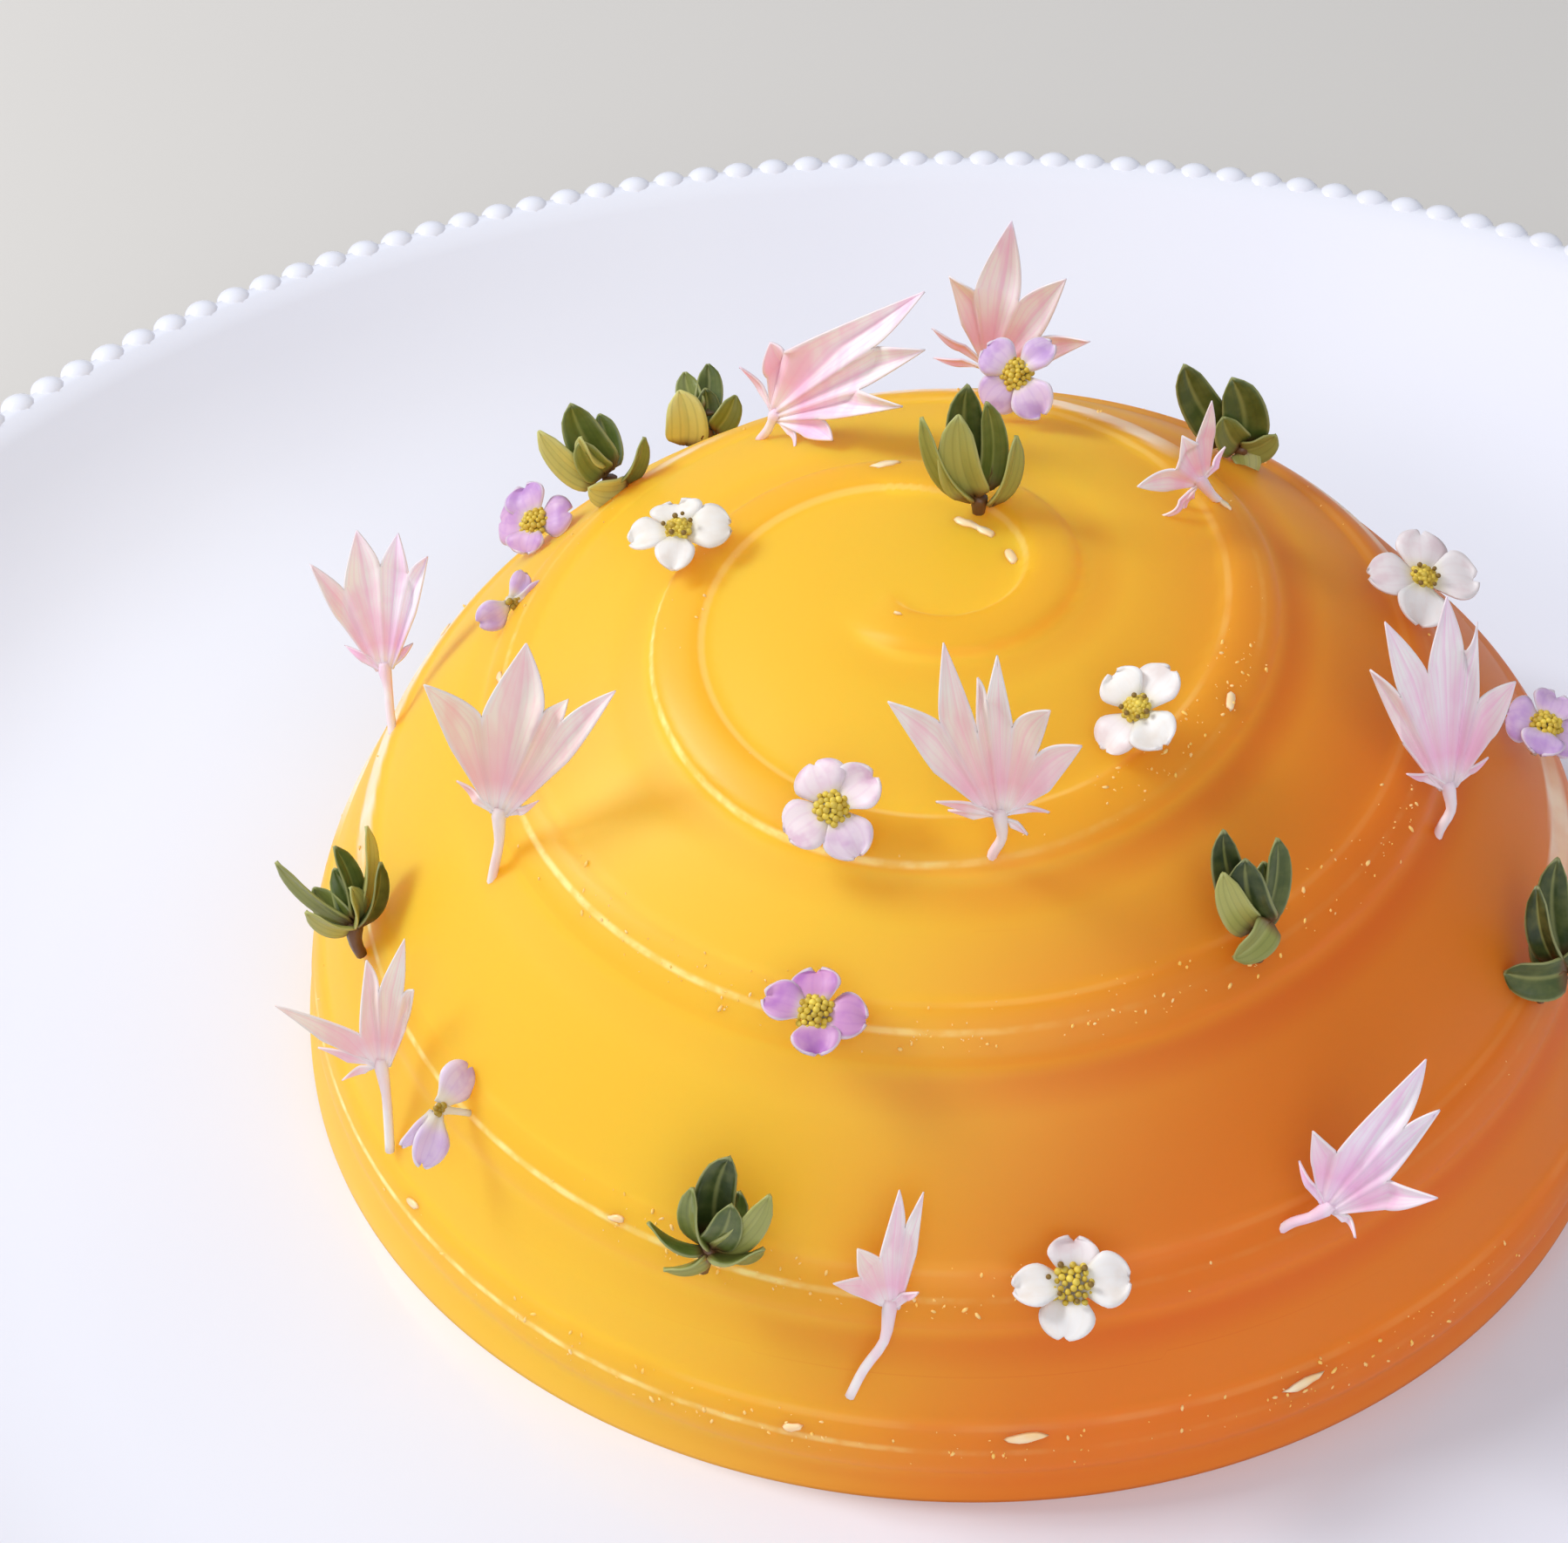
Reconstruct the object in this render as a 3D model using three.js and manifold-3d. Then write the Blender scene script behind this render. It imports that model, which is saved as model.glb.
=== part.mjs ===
// A domed citrus mousse on its dessert plate. A ridge piped as one long spiral shows under the
// glaze, and pink florets, four-petalled blossoms and green herb tips stand along its crest.
// Millimetres, +Z up. The origin is the middle of the plate's foot, on the table.
import * as THREE from 'three';
import { mergeVertices } from 'three/addons/utils/BufferGeometryUtils.js';
import Module from 'manifold-3d';

// Plate
const PLATE_RADIUS = 86;
const PLATE_HEIGHT = 15;
const WELL_HEIGHT = 5;
const WELL_RADIUS = 60;
const FOOT_INNER = 44;
const FOOT_OUTER = 49;
const FOOT_RECESS = 2.2;
const BEAD_COUNT = 186;
const BEAD_DEPTH = 1.1;
const BEADS_PER_SEGMENT = 3;
const BEAD_BORDER = 0.6;
const RIM_THICKNESS = 1.8;

// Mousse dome: a superellipse turned about the plate's axis
const REST_GAP = 0.3;
const DOME_RADIUS = 40;
const DOME_HEIGHT = 33;
const SIDE_POWER = 2.45;
const CROWN_POWER = 1.6;

// Piped ridge. Distances run over the surface from the piping centre, one for each quarter turn,
// starting half a turn before the hook at the crown.
const PIPING_CENTRE = new THREE.Vector2(-2.5, -3.85);
const RIDGE_START_TURN = -180;
const RIDGE_EACH_QUARTER = [
  0.9, 1.1, 1.3, 1.6, 2.4, 4.4, 7.3, 9.7, 12.8, 17.6, 18.6, 23.3,
  24.7, 27.4, 30.2, 33.8, 38, 41, 44.5, 46.3, 47.4, 49.8, 56, 64,
];
const HOOK_TURN = 240;
const RIDGE_END_TURN = 1820;
const RIDGE_HEIGHT = 0.9;
const RIDGE_CREST = 0.9;
const RIDGE_FOOT = 2.2;
const GROOVE_DEPTH = 0.3;
const GROOVE_WIDTH = 5;
const FADE_TURN = 35;

// Mesh fineness of the dome
const COLUMNS_PER_TURN = 66;
const MESH_START_TURN = -150;
const MESH_END_TURN = 1890;
const PROFILE_STEPS = 400;

// Garnish
const TOPPING_GAP = 0.3;
const PETAL_THICKNESS = 0.3;
const STEM_HALF_WIDTH = 0.3;
const THROAT_HALF_WIDTH = 0.55;
const LOBE_HALF_WIDTH = 1.0;
const BLOSSOM_RADIUS = 2.9;
const BLOSSOM_STEM = 0.9;
const LEAF_LENGTH = 3.4;
const LEAF_HALF_WIDTH = 0.85;
const HERB_STEM = 2.6;
const FRONT = new THREE.Vector3(0, -0.72, 0.69);

// Each topping stands at a turn of the ridge, a few millimetres above (-) or below (+) its crest,
// and points towards a heading, raised by so many degrees.
// Lobes are [degrees from the floret's axis, length].
const FLORETS = [
  { turn: 644, offset: 0.6, heading: 234, rise: 84, stem: 1.1,
    lobes: [[-38, 4.7], [-26, 11.2], [-9, 12.8], [2, 11.5], [17, 9.6], [37, 7.5]] },
  { turn: 749, offset: -1, heading: 235, rise: 62, stem: 0.8,
    lobes: [[-53, 3], [-9, 7.4], [38, 6.6]] },
  { turn: 802, offset: 5.7, heading: 316, rise: 67, stem: 1.5,
    lobes: [[-38, 6.9], [-20, 9.7], [-8, 11.5], [11, 9.9], [35, 7.9]] },
  { turn: 837, offset: -4.5, heading: 329, rise: 50, stem: 1.4,
    lobes: [[-62, 3.4], [-27, 7.5], [-6, 12.5], [10, 12.3], [27, 9]] },
  { turn: 929, offset: 2.6, heading: 28, rise: 77, stem: 4,
    lobes: [[-66, 2.6], [-30, 9.3], [-4, 10.2], [8, 9.8], [28, 10.2]] },
  { turn: 1062, offset: 2.5, heading: 168, rise: 80, stem: 3,
    lobes: [[-23, 8.4], [-11, 10.4], [5, 11.6], [13, 11.2], [31, 7.8]] },
  { turn: 1250, offset: -1.3, heading: 250, rise: 75, stem: 1,
    lobes: [[-26, 8.8], [-9, 10.6], [6, 10.8], [19, 9.4]] },
  { turn: 1294, offset: 4.7, heading: 70, rise: 77, stem: 4.1,
    lobes: [[-60, 4.1], [-46, 7.7], [-8, 6.4], [8, 9]] },
  { turn: 1347, offset: 3.3, heading: 62, rise: 73, stem: 5.7,
    lobes: [[-60, 3.3], [-32, 4], [-5, 6.9], [8, 6.3]] },
  { turn: 1384, offset: -1, heading: 353, rise: 64, stem: 1.7,
    lobes: [[-35, 4.6], [-8, 11.8], [7, 10.8], [28, 8.3]] },
  { turn: 1521, offset: 5, heading: 78, rise: 24, stem: 1.2,
    lobes: [[-50, 3.6], [-24, 5.2], [0, 5.8], [24, 5.2], [48, 3.8]] },
  { turn: 1548, offset: 5, heading: 106, rise: 24, stem: 1.1,
    lobes: [[-46, 3.4], [-20, 5.4], [4, 5.6], [28, 4.8], [50, 3.2]] },
];
const BLOSSOMS = [
  { turn: 525, offset: 0.7, heading: 250, rise: 76, spin: 20, size: 1 },
  { turn: 617, offset: -0.4, heading: 265, rise: 50, spin: 30, size: 0.9 },
  { turn: 678, offset: -2.4, heading: 240, rise: 55, spin: 10, size: 0.9 },
  { turn: 792, offset: -3.9, heading: 255, rise: 45, spin: 35, size: 0.95 },
  { turn: 864, offset: 5.6, heading: 230, rise: 50, spin: 15, size: 0.95 },
  { turn: 885, offset: 1.7, heading: 200, rise: 25, spin: 40, size: 0.75 },
  { turn: 980, offset: -0.3, heading: 262, rise: 62, spin: 5, size: 1 },
  { turn: 1093, offset: -1.5, heading: 300, rise: 62, spin: 30, size: 1 },
  { turn: 1492, offset: 3.5, heading: 50, rise: 30, spin: 20, size: 0.9 },
  { turn: 1302, offset: -0.1, heading: 205, rise: 25, spin: 15, size: 0.9 },
  { turn: 1364, offset: -1.3, heading: 268, rise: 58, spin: 0, size: 1.1 },
  { turn: 1442, offset: -6.6, heading: 290, rise: 70, spin: 25, size: 0.95 },
  { turn: 1534, offset: 3.5, heading: 92, rise: 35, spin: 10, size: 0.95 },
];
const HERB_TIPS = [
  { turn: 421, offset: -2, heading: 189, rise: 84, spin: 10, size: 1.15 },
  { turn: 859, offset: 1.1, heading: 168, rise: 74, spin: 30, size: 1.05 },
  { turn: 1031, offset: -0.8, heading: 144, rise: 82, spin: 60, size: 1 },
  { turn: 1124, offset: -4.5, heading: 196, rise: 74, spin: 75, size: 1.05 },
  { turn: 1196, offset: -1.3, heading: 110, rise: 72, spin: 20, size: 1 },
  { turn: 1278, offset: 0.3, heading: 175, rise: 66, spin: 45, size: 1.1 },
  { turn: 1332, offset: -0.9, heading: 330, rise: 78, spin: 0, size: 1 },
  { turn: 1419, offset: -1.6, heading: 60, rise: 74, spin: 35, size: 1.15 },
  { turn: 1507, offset: 5.5, heading: 66, rise: 20, spin: 15, size: 0.95 },
  { turn: 1562, offset: 5.5, heading: 122, rise: 18, spin: 50, size: 0.9 },
];

const wasm = await Module();
wasm.setup();

function radians(degrees) {
  return THREE.MathUtils.degToRad(degrees);
}

function geometryFrom(positions, index) {
  const geometry = new THREE.BufferGeometry();
  geometry.setAttribute('position', new THREE.Float32BufferAttribute(positions, 3));
  geometry.setIndex(index);
  return geometry;
}

// Joins vertices that meet and drops the triangles that have shrunk to a line.
function weld(geometry) {
  geometry.deleteAttribute('normal');
  geometry.deleteAttribute('uv');
  const welded = mergeVertices(geometry, 2e-3);
  const corners = welded.index.array;
  const kept = [];
  for (let i = 0; i < corners.length; i += 3) {
    const [a, b, c] = [corners[i], corners[i + 1], corners[i + 2]];
    if (a !== b && b !== c && c !== a) kept.push(a, b, c);
  }
  welded.setIndex(kept);
  return welded;
}

function toSolid(geometry) {
  const welded = weld(geometry);
  return new wasm.Manifold(new wasm.Mesh({
    numProp: 3,
    vertProperties: new Float32Array(welded.attributes.position.array),
    triVerts: new Uint32Array(welded.index.array),
  }));
}

function fromSolid(solid) {
  const mesh = solid.getMesh();
  return geometryFrom(Array.from(mesh.vertProperties), Array.from(mesh.triVerts));
}

// ---------------------------------------------------------------- plate

function beadedRing(radius, height) {
  const points = [];
  const corners = BEAD_COUNT * 3;
  for (let i = 0; i < corners; i += 1) {
    const angle = (i / corners) * 2 * Math.PI;
    const reach = i % 3 === 0 ? radius - BEAD_DEPTH : radius;
    points.push([reach * Math.cos(angle), reach * Math.sin(angle), height]);
  }
  return points;
}

function plainRing(radius, height, corners) {
  const points = [];
  for (let i = 0; i < corners; i += 1) {
    const angle = (i / corners) * 2 * Math.PI;
    points.push([radius * Math.cos(angle), radius * Math.sin(angle), height]);
  }
  return points;
}

// Stitches two rings whose corner counts are equal or a whole multiple of each other.
function stitch(index, startA, countA, startB, countB) {
  const steps = Math.max(countA, countB);
  const stepA = steps / countA;
  const stepB = steps / countB;
  const nearest = (i, step) => Math.round(i / step);
  for (let i = 0; i < steps; i += 1) {
    const a0 = startA + (nearest(i, stepA) % countA);
    const a1 = startA + (nearest(i + 1, stepA) % countA);
    const b0 = startB + (nearest(i, stepB) % countB);
    const b1 = startB + (nearest(i + 1, stepB) % countB);
    if (a0 !== a1) index.push(a0, a1, b1);
    if (b0 !== b1) index.push(a0, b1, b0);
  }
}

function plateGeometry() {
  const segments = BEAD_COUNT / BEADS_PER_SEGMENT;
  const underside = [
    [FOOT_INNER, FOOT_RECESS], [FOOT_INNER + 1, 0], [FOOT_OUTER, 0], [FOOT_OUTER + 2, FOOT_RECESS],
    [64, 3.3], [74, 6.4], [80.5, 9.8],
  ];
  const upperSide = [[79.5, 11.5], [73, 7.9], [66.5, 5.6], [WELL_RADIUS, WELL_HEIGHT]];
  const inside = PLATE_RADIUS - BEAD_DEPTH - BEAD_BORDER;
  const rings = underside.map(([radius, height]) => plainRing(radius, height, segments));
  rings.push(plainRing(inside, PLATE_HEIGHT - RIM_THICKNESS - 0.6, BEAD_COUNT));
  rings.push(beadedRing(PLATE_RADIUS - 0.5, PLATE_HEIGHT - RIM_THICKNESS));
  rings.push(beadedRing(PLATE_RADIUS, PLATE_HEIGHT));
  rings.push(plainRing(inside, PLATE_HEIGHT - 0.6, BEAD_COUNT));
  rings.push(...upperSide.map(([radius, height]) => plainRing(radius, height, segments)));
  const positions = [0, 0, FOOT_RECESS];
  const index = [];
  let start = 1;
  for (const [i, ring] of rings.entries()) {
    positions.push(...ring.flat());
    if (i > 0) stitch(index, start - rings[i - 1].length, rings[i - 1].length, start, ring.length);
    start += ring.length;
  }
  const top = start;
  positions.push(0, 0, WELL_HEIGHT);
  const first = rings[0].length;
  for (let i = 0; i < first; i += 1) {
    index.push(0, 1 + ((i + 1) % first), 1 + i);
    index.push(top, top - first + i, top - first + ((i + 1) % first));
  }
  return geometryFrom(positions, index);
}

// ---------------------------------------------------------------- dome

// The dome's bare profile, from its crown down to its base: radius, height, and distance run.
const profile = [];
for (let i = 0; i <= PROFILE_STEPS; i += 1) {
  const angle = (i / PROFILE_STEPS) * (Math.PI / 2);
  const radius = DOME_RADIUS * Math.sin(angle) ** (2 / SIDE_POWER);
  const height = i === PROFILE_STEPS ? 0 : DOME_HEIGHT * Math.cos(angle) ** (2 / CROWN_POWER);
  const last = profile[i - 1];
  const run = last ? last.run + Math.hypot(radius - last.radius, height - last.height) : 0;
  profile.push({ radius, height, run });
}
const PROFILE_LENGTH = profile[PROFILE_STEPS].run;

function profileAt(run) {
  const within = Math.min(run, PROFILE_LENGTH);
  let high = profile.findIndex((point) => point.run >= within);
  high = Math.max(high, 1);
  const a = profile[high - 1];
  const b = profile[high];
  const part = (within - a.run) / (b.run - a.run);
  const slope = new THREE.Vector2(b.radius - a.radius, b.height - a.height).normalize();
  return {
    radius: THREE.MathUtils.lerp(a.radius, b.radius, part),
    height: THREE.MathUtils.lerp(a.height, b.height, part),
    outward: -slope.y,
    upward: slope.x,
  };
}

// Places in the dome's skin are named on a flat map: distance and direction from the crown.
function skinPoint(map, lift) {
  const direction = Math.atan2(map.y, map.x);
  const at = profileAt(map.length());
  const radius = at.radius + at.outward * lift;
  return new THREE.Vector3(
    radius * Math.cos(direction),
    radius * Math.sin(direction),
    Math.max(at.height + at.upward * lift, 0),
  );
}

function skinNormal(map) {
  const direction = Math.atan2(map.y, map.x);
  const at = profileAt(map.length());
  return new THREE.Vector3(
    at.outward * Math.cos(direction),
    at.outward * Math.sin(direction),
    at.upward,
  );
}

// Distance of the ridge's crest from the piping centre, a smooth curve through the quarter turns.
function ridgeDistance(turn) {
  const count = RIDGE_EACH_QUARTER.length;
  const place = (turn - RIDGE_START_TURN) / 90;
  const last = RIDGE_EACH_QUARTER[count - 1];
  if (place >= count - 1) {
    return last + (place - count + 1) * (last - RIDGE_EACH_QUARTER[count - 2]);
  }
  const i = Math.max(Math.floor(place), 0);
  const t = place - i;
  const at = (k) => RIDGE_EACH_QUARTER[THREE.MathUtils.clamp(k, 0, count - 1)];
  const [p0, p1, p2, p3] = [at(i - 1), at(i), at(i + 1), at(i + 2)];
  const cubic = -p0 + 3 * p1 - 3 * p2 + p3;
  const square = 2 * p0 - 5 * p1 + 4 * p2 - p3;
  return 0.5 * (2 * p1 + (p2 - p0) * t + square * t * t + cubic * t * t * t);
}

function mapPoint(turn, distance) {
  const angle = radians(turn);
  return new THREE.Vector2(Math.cos(angle), Math.sin(angle))
    .multiplyScalar(distance)
    .add(PIPING_CENTRE);
}

// Distance from the piping centre to the dome's base, straight out at this turn.
function baseDistance(turn) {
  const direction = mapPoint(turn, 1).sub(PIPING_CENTRE);
  const along = direction.dot(PIPING_CENTRE);
  return Math.sqrt(along ** 2 + PROFILE_LENGTH ** 2 - PIPING_CENTRE.lengthSq()) - along;
}

function relief(map) {
  const away = map.clone().sub(PIPING_CENTRE);
  const distance = away.length();
  const angle = THREE.MathUtils.radToDeg(Math.atan2(away.y, away.x));
  let lift = 0;
  for (let turn = angle + 360; turn < MESH_END_TURN; turn += 360) {
    const off = distance - ridgeDistance(turn);
    const fadeIn = THREE.MathUtils.smoothstep(turn, HOOK_TURN - FADE_TURN / 2, HOOK_TURN + FADE_TURN / 2);
    const fadeOut = 1 - THREE.MathUtils.smoothstep(turn, RIDGE_END_TURN - FADE_TURN, RIDGE_END_TURN);
    const band = 1 - THREE.MathUtils.smoothstep(Math.abs(off), RIDGE_CREST, RIDGE_FOOT);
    const groove = off > 0 && off < GROOVE_WIDTH ? Math.sin((off / GROOVE_WIDTH) * Math.PI) : 0;
    lift += (RIDGE_HEIGHT * band - GROOVE_DEPTH * groove) * fadeIn * fadeOut;
  }
  return lift;
}

// The skin is meshed along the spiral, so that its rows of corners follow the ridge.
// Corners past the base gather on the base line.
function domeGeometry() {
  const columns = ((MESH_END_TURN - MESH_START_TURN) / 360) * COLUMNS_PER_TURN;
  const positions = [];
  const index = [];
  const rows = 6;
  for (let i = 0; i <= columns; i += 1) {
    const turn = MESH_START_TURN + (i * 360) / COLUMNS_PER_TURN;
    const inner = ridgeDistance(turn);
    const gap = ridgeDistance(turn + 360) - inner;
    const crest = Math.min(RIDGE_CREST + 0.2, gap * 0.15);
    const foot = Math.min(RIDGE_FOOT, gap * 0.3);
    const edge = baseDistance(turn);
    for (const out of [0, crest, foot, gap / 2, gap - foot, gap - crest]) {
      const distance = inner + out;
      const map = mapPoint(turn, Math.min(distance, edge));
      const nearBase = THREE.MathUtils.smoothstep(edge - distance, 0, RIDGE_FOOT);
      const point = skinPoint(map, relief(map) * nearBase);
      if (distance >= edge) point.z = 0;
      positions.push(...point.toArray());
    }
  }
  // A corner's row number runs on across the next turn of the spiral.
  const corner = (i, row) => (row < rows ? i * rows + row : (i + COLUMNS_PER_TURN) * rows + row - rows);
  const lastColumn = columns - COLUMNS_PER_TURN;
  for (let i = 0; i < columns; i += 1) {
    for (let row = 0; row < rows; row += 1) {
      if (i >= lastColumn && row === rows - 1) continue;
      index.push(corner(i, row), corner(i, row + 1), corner(i + 1, row + 1));
      index.push(corner(i, row), corner(i + 1, row + 1), corner(i + 1, row));
    }
  }
  // Crown: a fan inside the first turn.
  const crown = positions.length / 3;
  positions.push(...skinPoint(PIPING_CENTRE, relief(PIPING_CENTRE)).toArray());
  for (let i = 0; i < COLUMNS_PER_TURN; i += 1) index.push(crown, corner(i, 0), corner(i + 1, 0));
  for (let row = rows; row > 0; row -= 1) index.push(crown, corner(0, row), corner(0, row - 1));
  // Flat underside.
  const middle = crown + 1;
  positions.push(0, 0, 0);
  for (let i = 0; i < COLUMNS_PER_TURN; i += 1) {
    const a = mapPoint(MESH_START_TURN + (i * 360) / COLUMNS_PER_TURN, 1).sub(PIPING_CENTRE);
    positions.push(0, 0, 0);
    const edge = baseDistance(MESH_START_TURN + (i * 360) / COLUMNS_PER_TURN);
    const base = skinPoint(a.multiplyScalar(edge).add(PIPING_CENTRE), 0);
    positions.splice((middle + 1 + i) * 3, 3, base.x, base.y, 0);
    index.push(middle, middle + 1 + ((i + 1) % COLUMNS_PER_TURN), middle + 1 + i);
  }
  return weld(geometryFrom(positions, index));
}

// ---------------------------------------------------------------- garnish shapes

// A flat outline made into a thin wavy solid. Both faces hold the same triangles.
function thinSolid(outline, bend, thickness) {
  const faces = THREE.ShapeUtils.triangulateShape(outline, []);
  const positions = [];
  const step = 1e-3;
  for (const side of [0.5, -0.5]) {
    for (const { x, y } of outline) {
      const dx = (bend(x + step, y) - bend(x - step, y)) / (2 * step);
      const dy = (bend(x, y + step) - bend(x, y - step)) / (2 * step);
      const normal = new THREE.Vector3(-dx, -dy, 1).normalize().multiplyScalar(side * thickness);
      positions.push(x + normal.x, y + normal.y, bend(x, y) + normal.z);
    }
  }
  const count = outline.length;
  const index = [];
  for (const [a, b, c] of faces) {
    index.push(a, b, c);
    index.push(count + a, count + c, count + b);
  }
  for (let i = 0; i < count; i += 1) {
    const next = (i + 1) % count;
    index.push(i, count + i, count + next);
    index.push(i, count + next, next);
  }
  return geometryFrom(positions, index);
}

// Florets lie in their local XY plane: stem along -Y, lobes fanned out from the throat along +Y.
function floretGeometry({ stem, lobes }) {
  const polar = (degrees, reach) => new THREE.Vector2(
    reach * Math.sin(radians(degrees)),
    reach * Math.cos(radians(degrees)),
  );
  const outline = [new THREE.Vector2(STEM_HALF_WIDTH, 0), new THREE.Vector2(THROAT_HALF_WIDTH, stem)];
  const fan = [...lobes].reverse();
  for (const [i, [angle, length]] of fan.entries()) {
    const middle = length * 0.58;
    const spread = THREE.MathUtils.radToDeg(LOBE_HALF_WIDTH / middle);
    const gapBefore = i > 0 ? fan[i - 1][0] - angle : 90;
    const gapAfter = i < fan.length - 1 ? angle - fan[i + 1][0] : 90;
    outline.push(polar(angle + Math.min(spread, gapBefore * 0.42), middle));
    outline.push(polar(angle, length));
    outline.push(polar(angle - Math.min(spread, gapAfter * 0.42), middle));
    if (i < fan.length - 1) {
      const shorter = Math.min(length, fan[i + 1][1]);
      outline.push(polar(angle - gapAfter / 2, shorter * (gapAfter > 25 ? 0.34 : 0.46)));
    }
  }
  for (const point of outline.slice(2)) point.y += stem;
  outline.push(new THREE.Vector2(-THROAT_HALF_WIDTH, stem));
  outline.push(new THREE.Vector2(-STEM_HALF_WIDTH, 0));
  const cup = (x, y) => 0.035 * x * x - 0.006 * y * y;
  return thinSolid(outline, cup, PETAL_THICKNESS);
}

// Four round petals about a domed button, with a short tapering stem; local +Z is its face.
function blossomGeometry() {
  const corners = 16;
  const reach = [1, 0.9, 0.42, 0.9].map((part) => part * BLOSSOM_RADIUS);
  const petalAngles = [0, 31, 45, 59];
  const ring = (radiusAt, heightAt) => Array.from({ length: corners }, (_, i) => {
    const angle = radians(petalAngles[i % 4] + 90 * Math.floor(i / 4));
    return [radiusAt(i) * Math.cos(angle), radiusAt(i) * Math.sin(angle), heightAt(i)];
  });
  const petalLift = (i) => (i % 4 === 2 ? 0 : 0.25);
  const rings = [
    ring(() => 0.75, () => 0.55),
    ring((i) => reach[i % 4], (i) => petalLift(i) + PETAL_THICKNESS / 2),
    ring((i) => reach[i % 4], (i) => petalLift(i) - PETAL_THICKNESS / 2),
    ring(() => 0.35, () => -0.45),
  ];
  const positions = [0, 0, 0.85];
  const index = [];
  for (const [i, points] of rings.entries()) {
    positions.push(...points.flat());
    if (i > 0) stitch(index, 1 + i * corners, corners, 1 + (i - 1) * corners, corners);
  }
  const foot = positions.length / 3;
  positions.push(0, 0, -BLOSSOM_STEM);
  for (let i = 0; i < corners; i += 1) {
    const next = (i + 1) % corners;
    index.push(0, 1 + i, 1 + next);
    index.push(foot, foot - corners + next, foot - corners + i);
  }
  return geometryFrom(positions, index);
}

// A sprig tip: small pointed oval leaves in pairs round a short stem; local +Z is its axis.
function herbTipGeometry() {
  const width = LEAF_HALF_WIDTH;
  const outline = [
    [0.2, 0], [width, LEAF_LENGTH * 0.5], [0, LEAF_LENGTH], [-width, LEAF_LENGTH * 0.5], [-0.2, 0],
  ].map(([x, y]) => new THREE.Vector2(x, y));
  const leaf = thinSolid(outline, (x, y) => 0.22 * x * x + 0.03 * y * y, PETAL_THICKNESS);
  const profilePoints = [[0, 0], [0.3, 0], [0.6, HERB_STEM], [0, 5]];
  const stem = new THREE.LatheGeometry(profilePoints.map(([x, y]) => new THREE.Vector2(x, y)), 4);
  stem.rotateX(Math.PI / 2);
  let solid = toSolid(stem);
  const whorls = [
    { height: 1.3, lean: 62, size: 0.95, count: 2, turn: 0 },
    { height: 1.7, lean: 50, size: 1.05, count: 2, turn: 90 },
    { height: 2.4, lean: 24, size: 1.05, count: 2, turn: 30 },
  ];
  for (const { height, lean, size, count, turn } of whorls) {
    for (let i = 0; i < count; i += 1) {
      const placed = leaf.clone();
      placed.scale(size, size, 1);
      placed.rotateX(radians(90 + lean));
      placed.translate(0, -0.1, height);
      placed.rotateZ(radians(turn + (i * 360) / count));
      solid = solid.add(toSolid(placed));
    }
  }
  return fromSolid(solid);
}

// ---------------------------------------------------------------- placing

function direction(heading, rise) {
  return new THREE.Vector3(
    Math.cos(radians(heading)) * Math.cos(radians(rise)),
    Math.sin(radians(heading)) * Math.cos(radians(rise)),
    Math.sin(radians(rise)),
  );
}

// Height of a point above the dome's skin.
function clearance(point) {
  const radius = Math.hypot(point.x, point.y);
  let best = profile[0];
  let nearest = Infinity;
  for (const sample of profile) {
    const away = Math.hypot(sample.radius - radius, sample.height - point.z);
    if (away < nearest) {
      nearest = away;
      best = sample;
    }
  }
  const at = profileAt(best.run);
  const height = (radius - best.radius) * at.outward + (point.z - best.height) * at.upward;
  const map = new THREE.Vector2(point.x, point.y).multiplyScalar(best.run / Math.max(radius, 1e-6));
  return height - relief(map);
}

// Corners of a mesh and the middles of its edges.
function edgePoints(geometry) {
  const corners = geometry.attributes.position;
  const at = (i) => new THREE.Vector3().fromBufferAttribute(corners, geometry.index.array[i]);
  const points = [];
  for (let i = 0; i < geometry.index.count; i += 3) {
    for (const [a, b] of [[i, i + 1], [i + 1, i + 2], [i + 2, i]]) {
      points.push(at(a), at(a).lerp(at(b), 0.5));
    }
  }
  return points;
}

// Raises a topping along the skin's normal until all of it stands clear of the dome.
function settle(mesh, normal) {
  const points = edgePoints(mesh.geometry);
  for (let round = 0; round < 8; round += 1) {
    mesh.updateMatrix();
    const heights = points.map((point) => clearance(point.clone().applyMatrix4(mesh.matrix)));
    mesh.position.addScaledVector(normal, TOPPING_GAP - Math.min(...heights));
  }
}

function placeTopping(name, geometry, material, row, axes, size) {
  const map = mapPoint(row.turn, ridgeDistance(row.turn) + row.offset);
  const mesh = new THREE.Mesh(geometry, material);
  mesh.name = name;
  mesh.position.copy(skinPoint(map, relief(map) + TOPPING_GAP));
  mesh.quaternion.setFromRotationMatrix(new THREE.Matrix4().makeBasis(...axes));
  mesh.scale.setScalar(size);
  settle(mesh, skinNormal(map));
  return mesh;
}

// Axes of a floret: its length along Y, its open fan turned as squarely to the front as it goes.
function floretAxes({ heading, rise }) {
  const along = direction(heading, rise);
  const face = FRONT.clone().addScaledVector(along, -FRONT.dot(along)).normalize();
  return [new THREE.Vector3().crossVectors(along, face), along, face];
}

function spunAxes({ heading, rise, spin }) {
  const face = direction(heading, rise);
  const side = new THREE.Vector3(-Math.sin(radians(heading)), Math.cos(radians(heading)), 0);
  side.applyAxisAngle(face, radians(spin));
  return [side, new THREE.Vector3().crossVectors(face, side), face];
}

function material(color, roughness, metalness = 0) {
  return new THREE.MeshStandardMaterial({ color, roughness, metalness });
}

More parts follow.
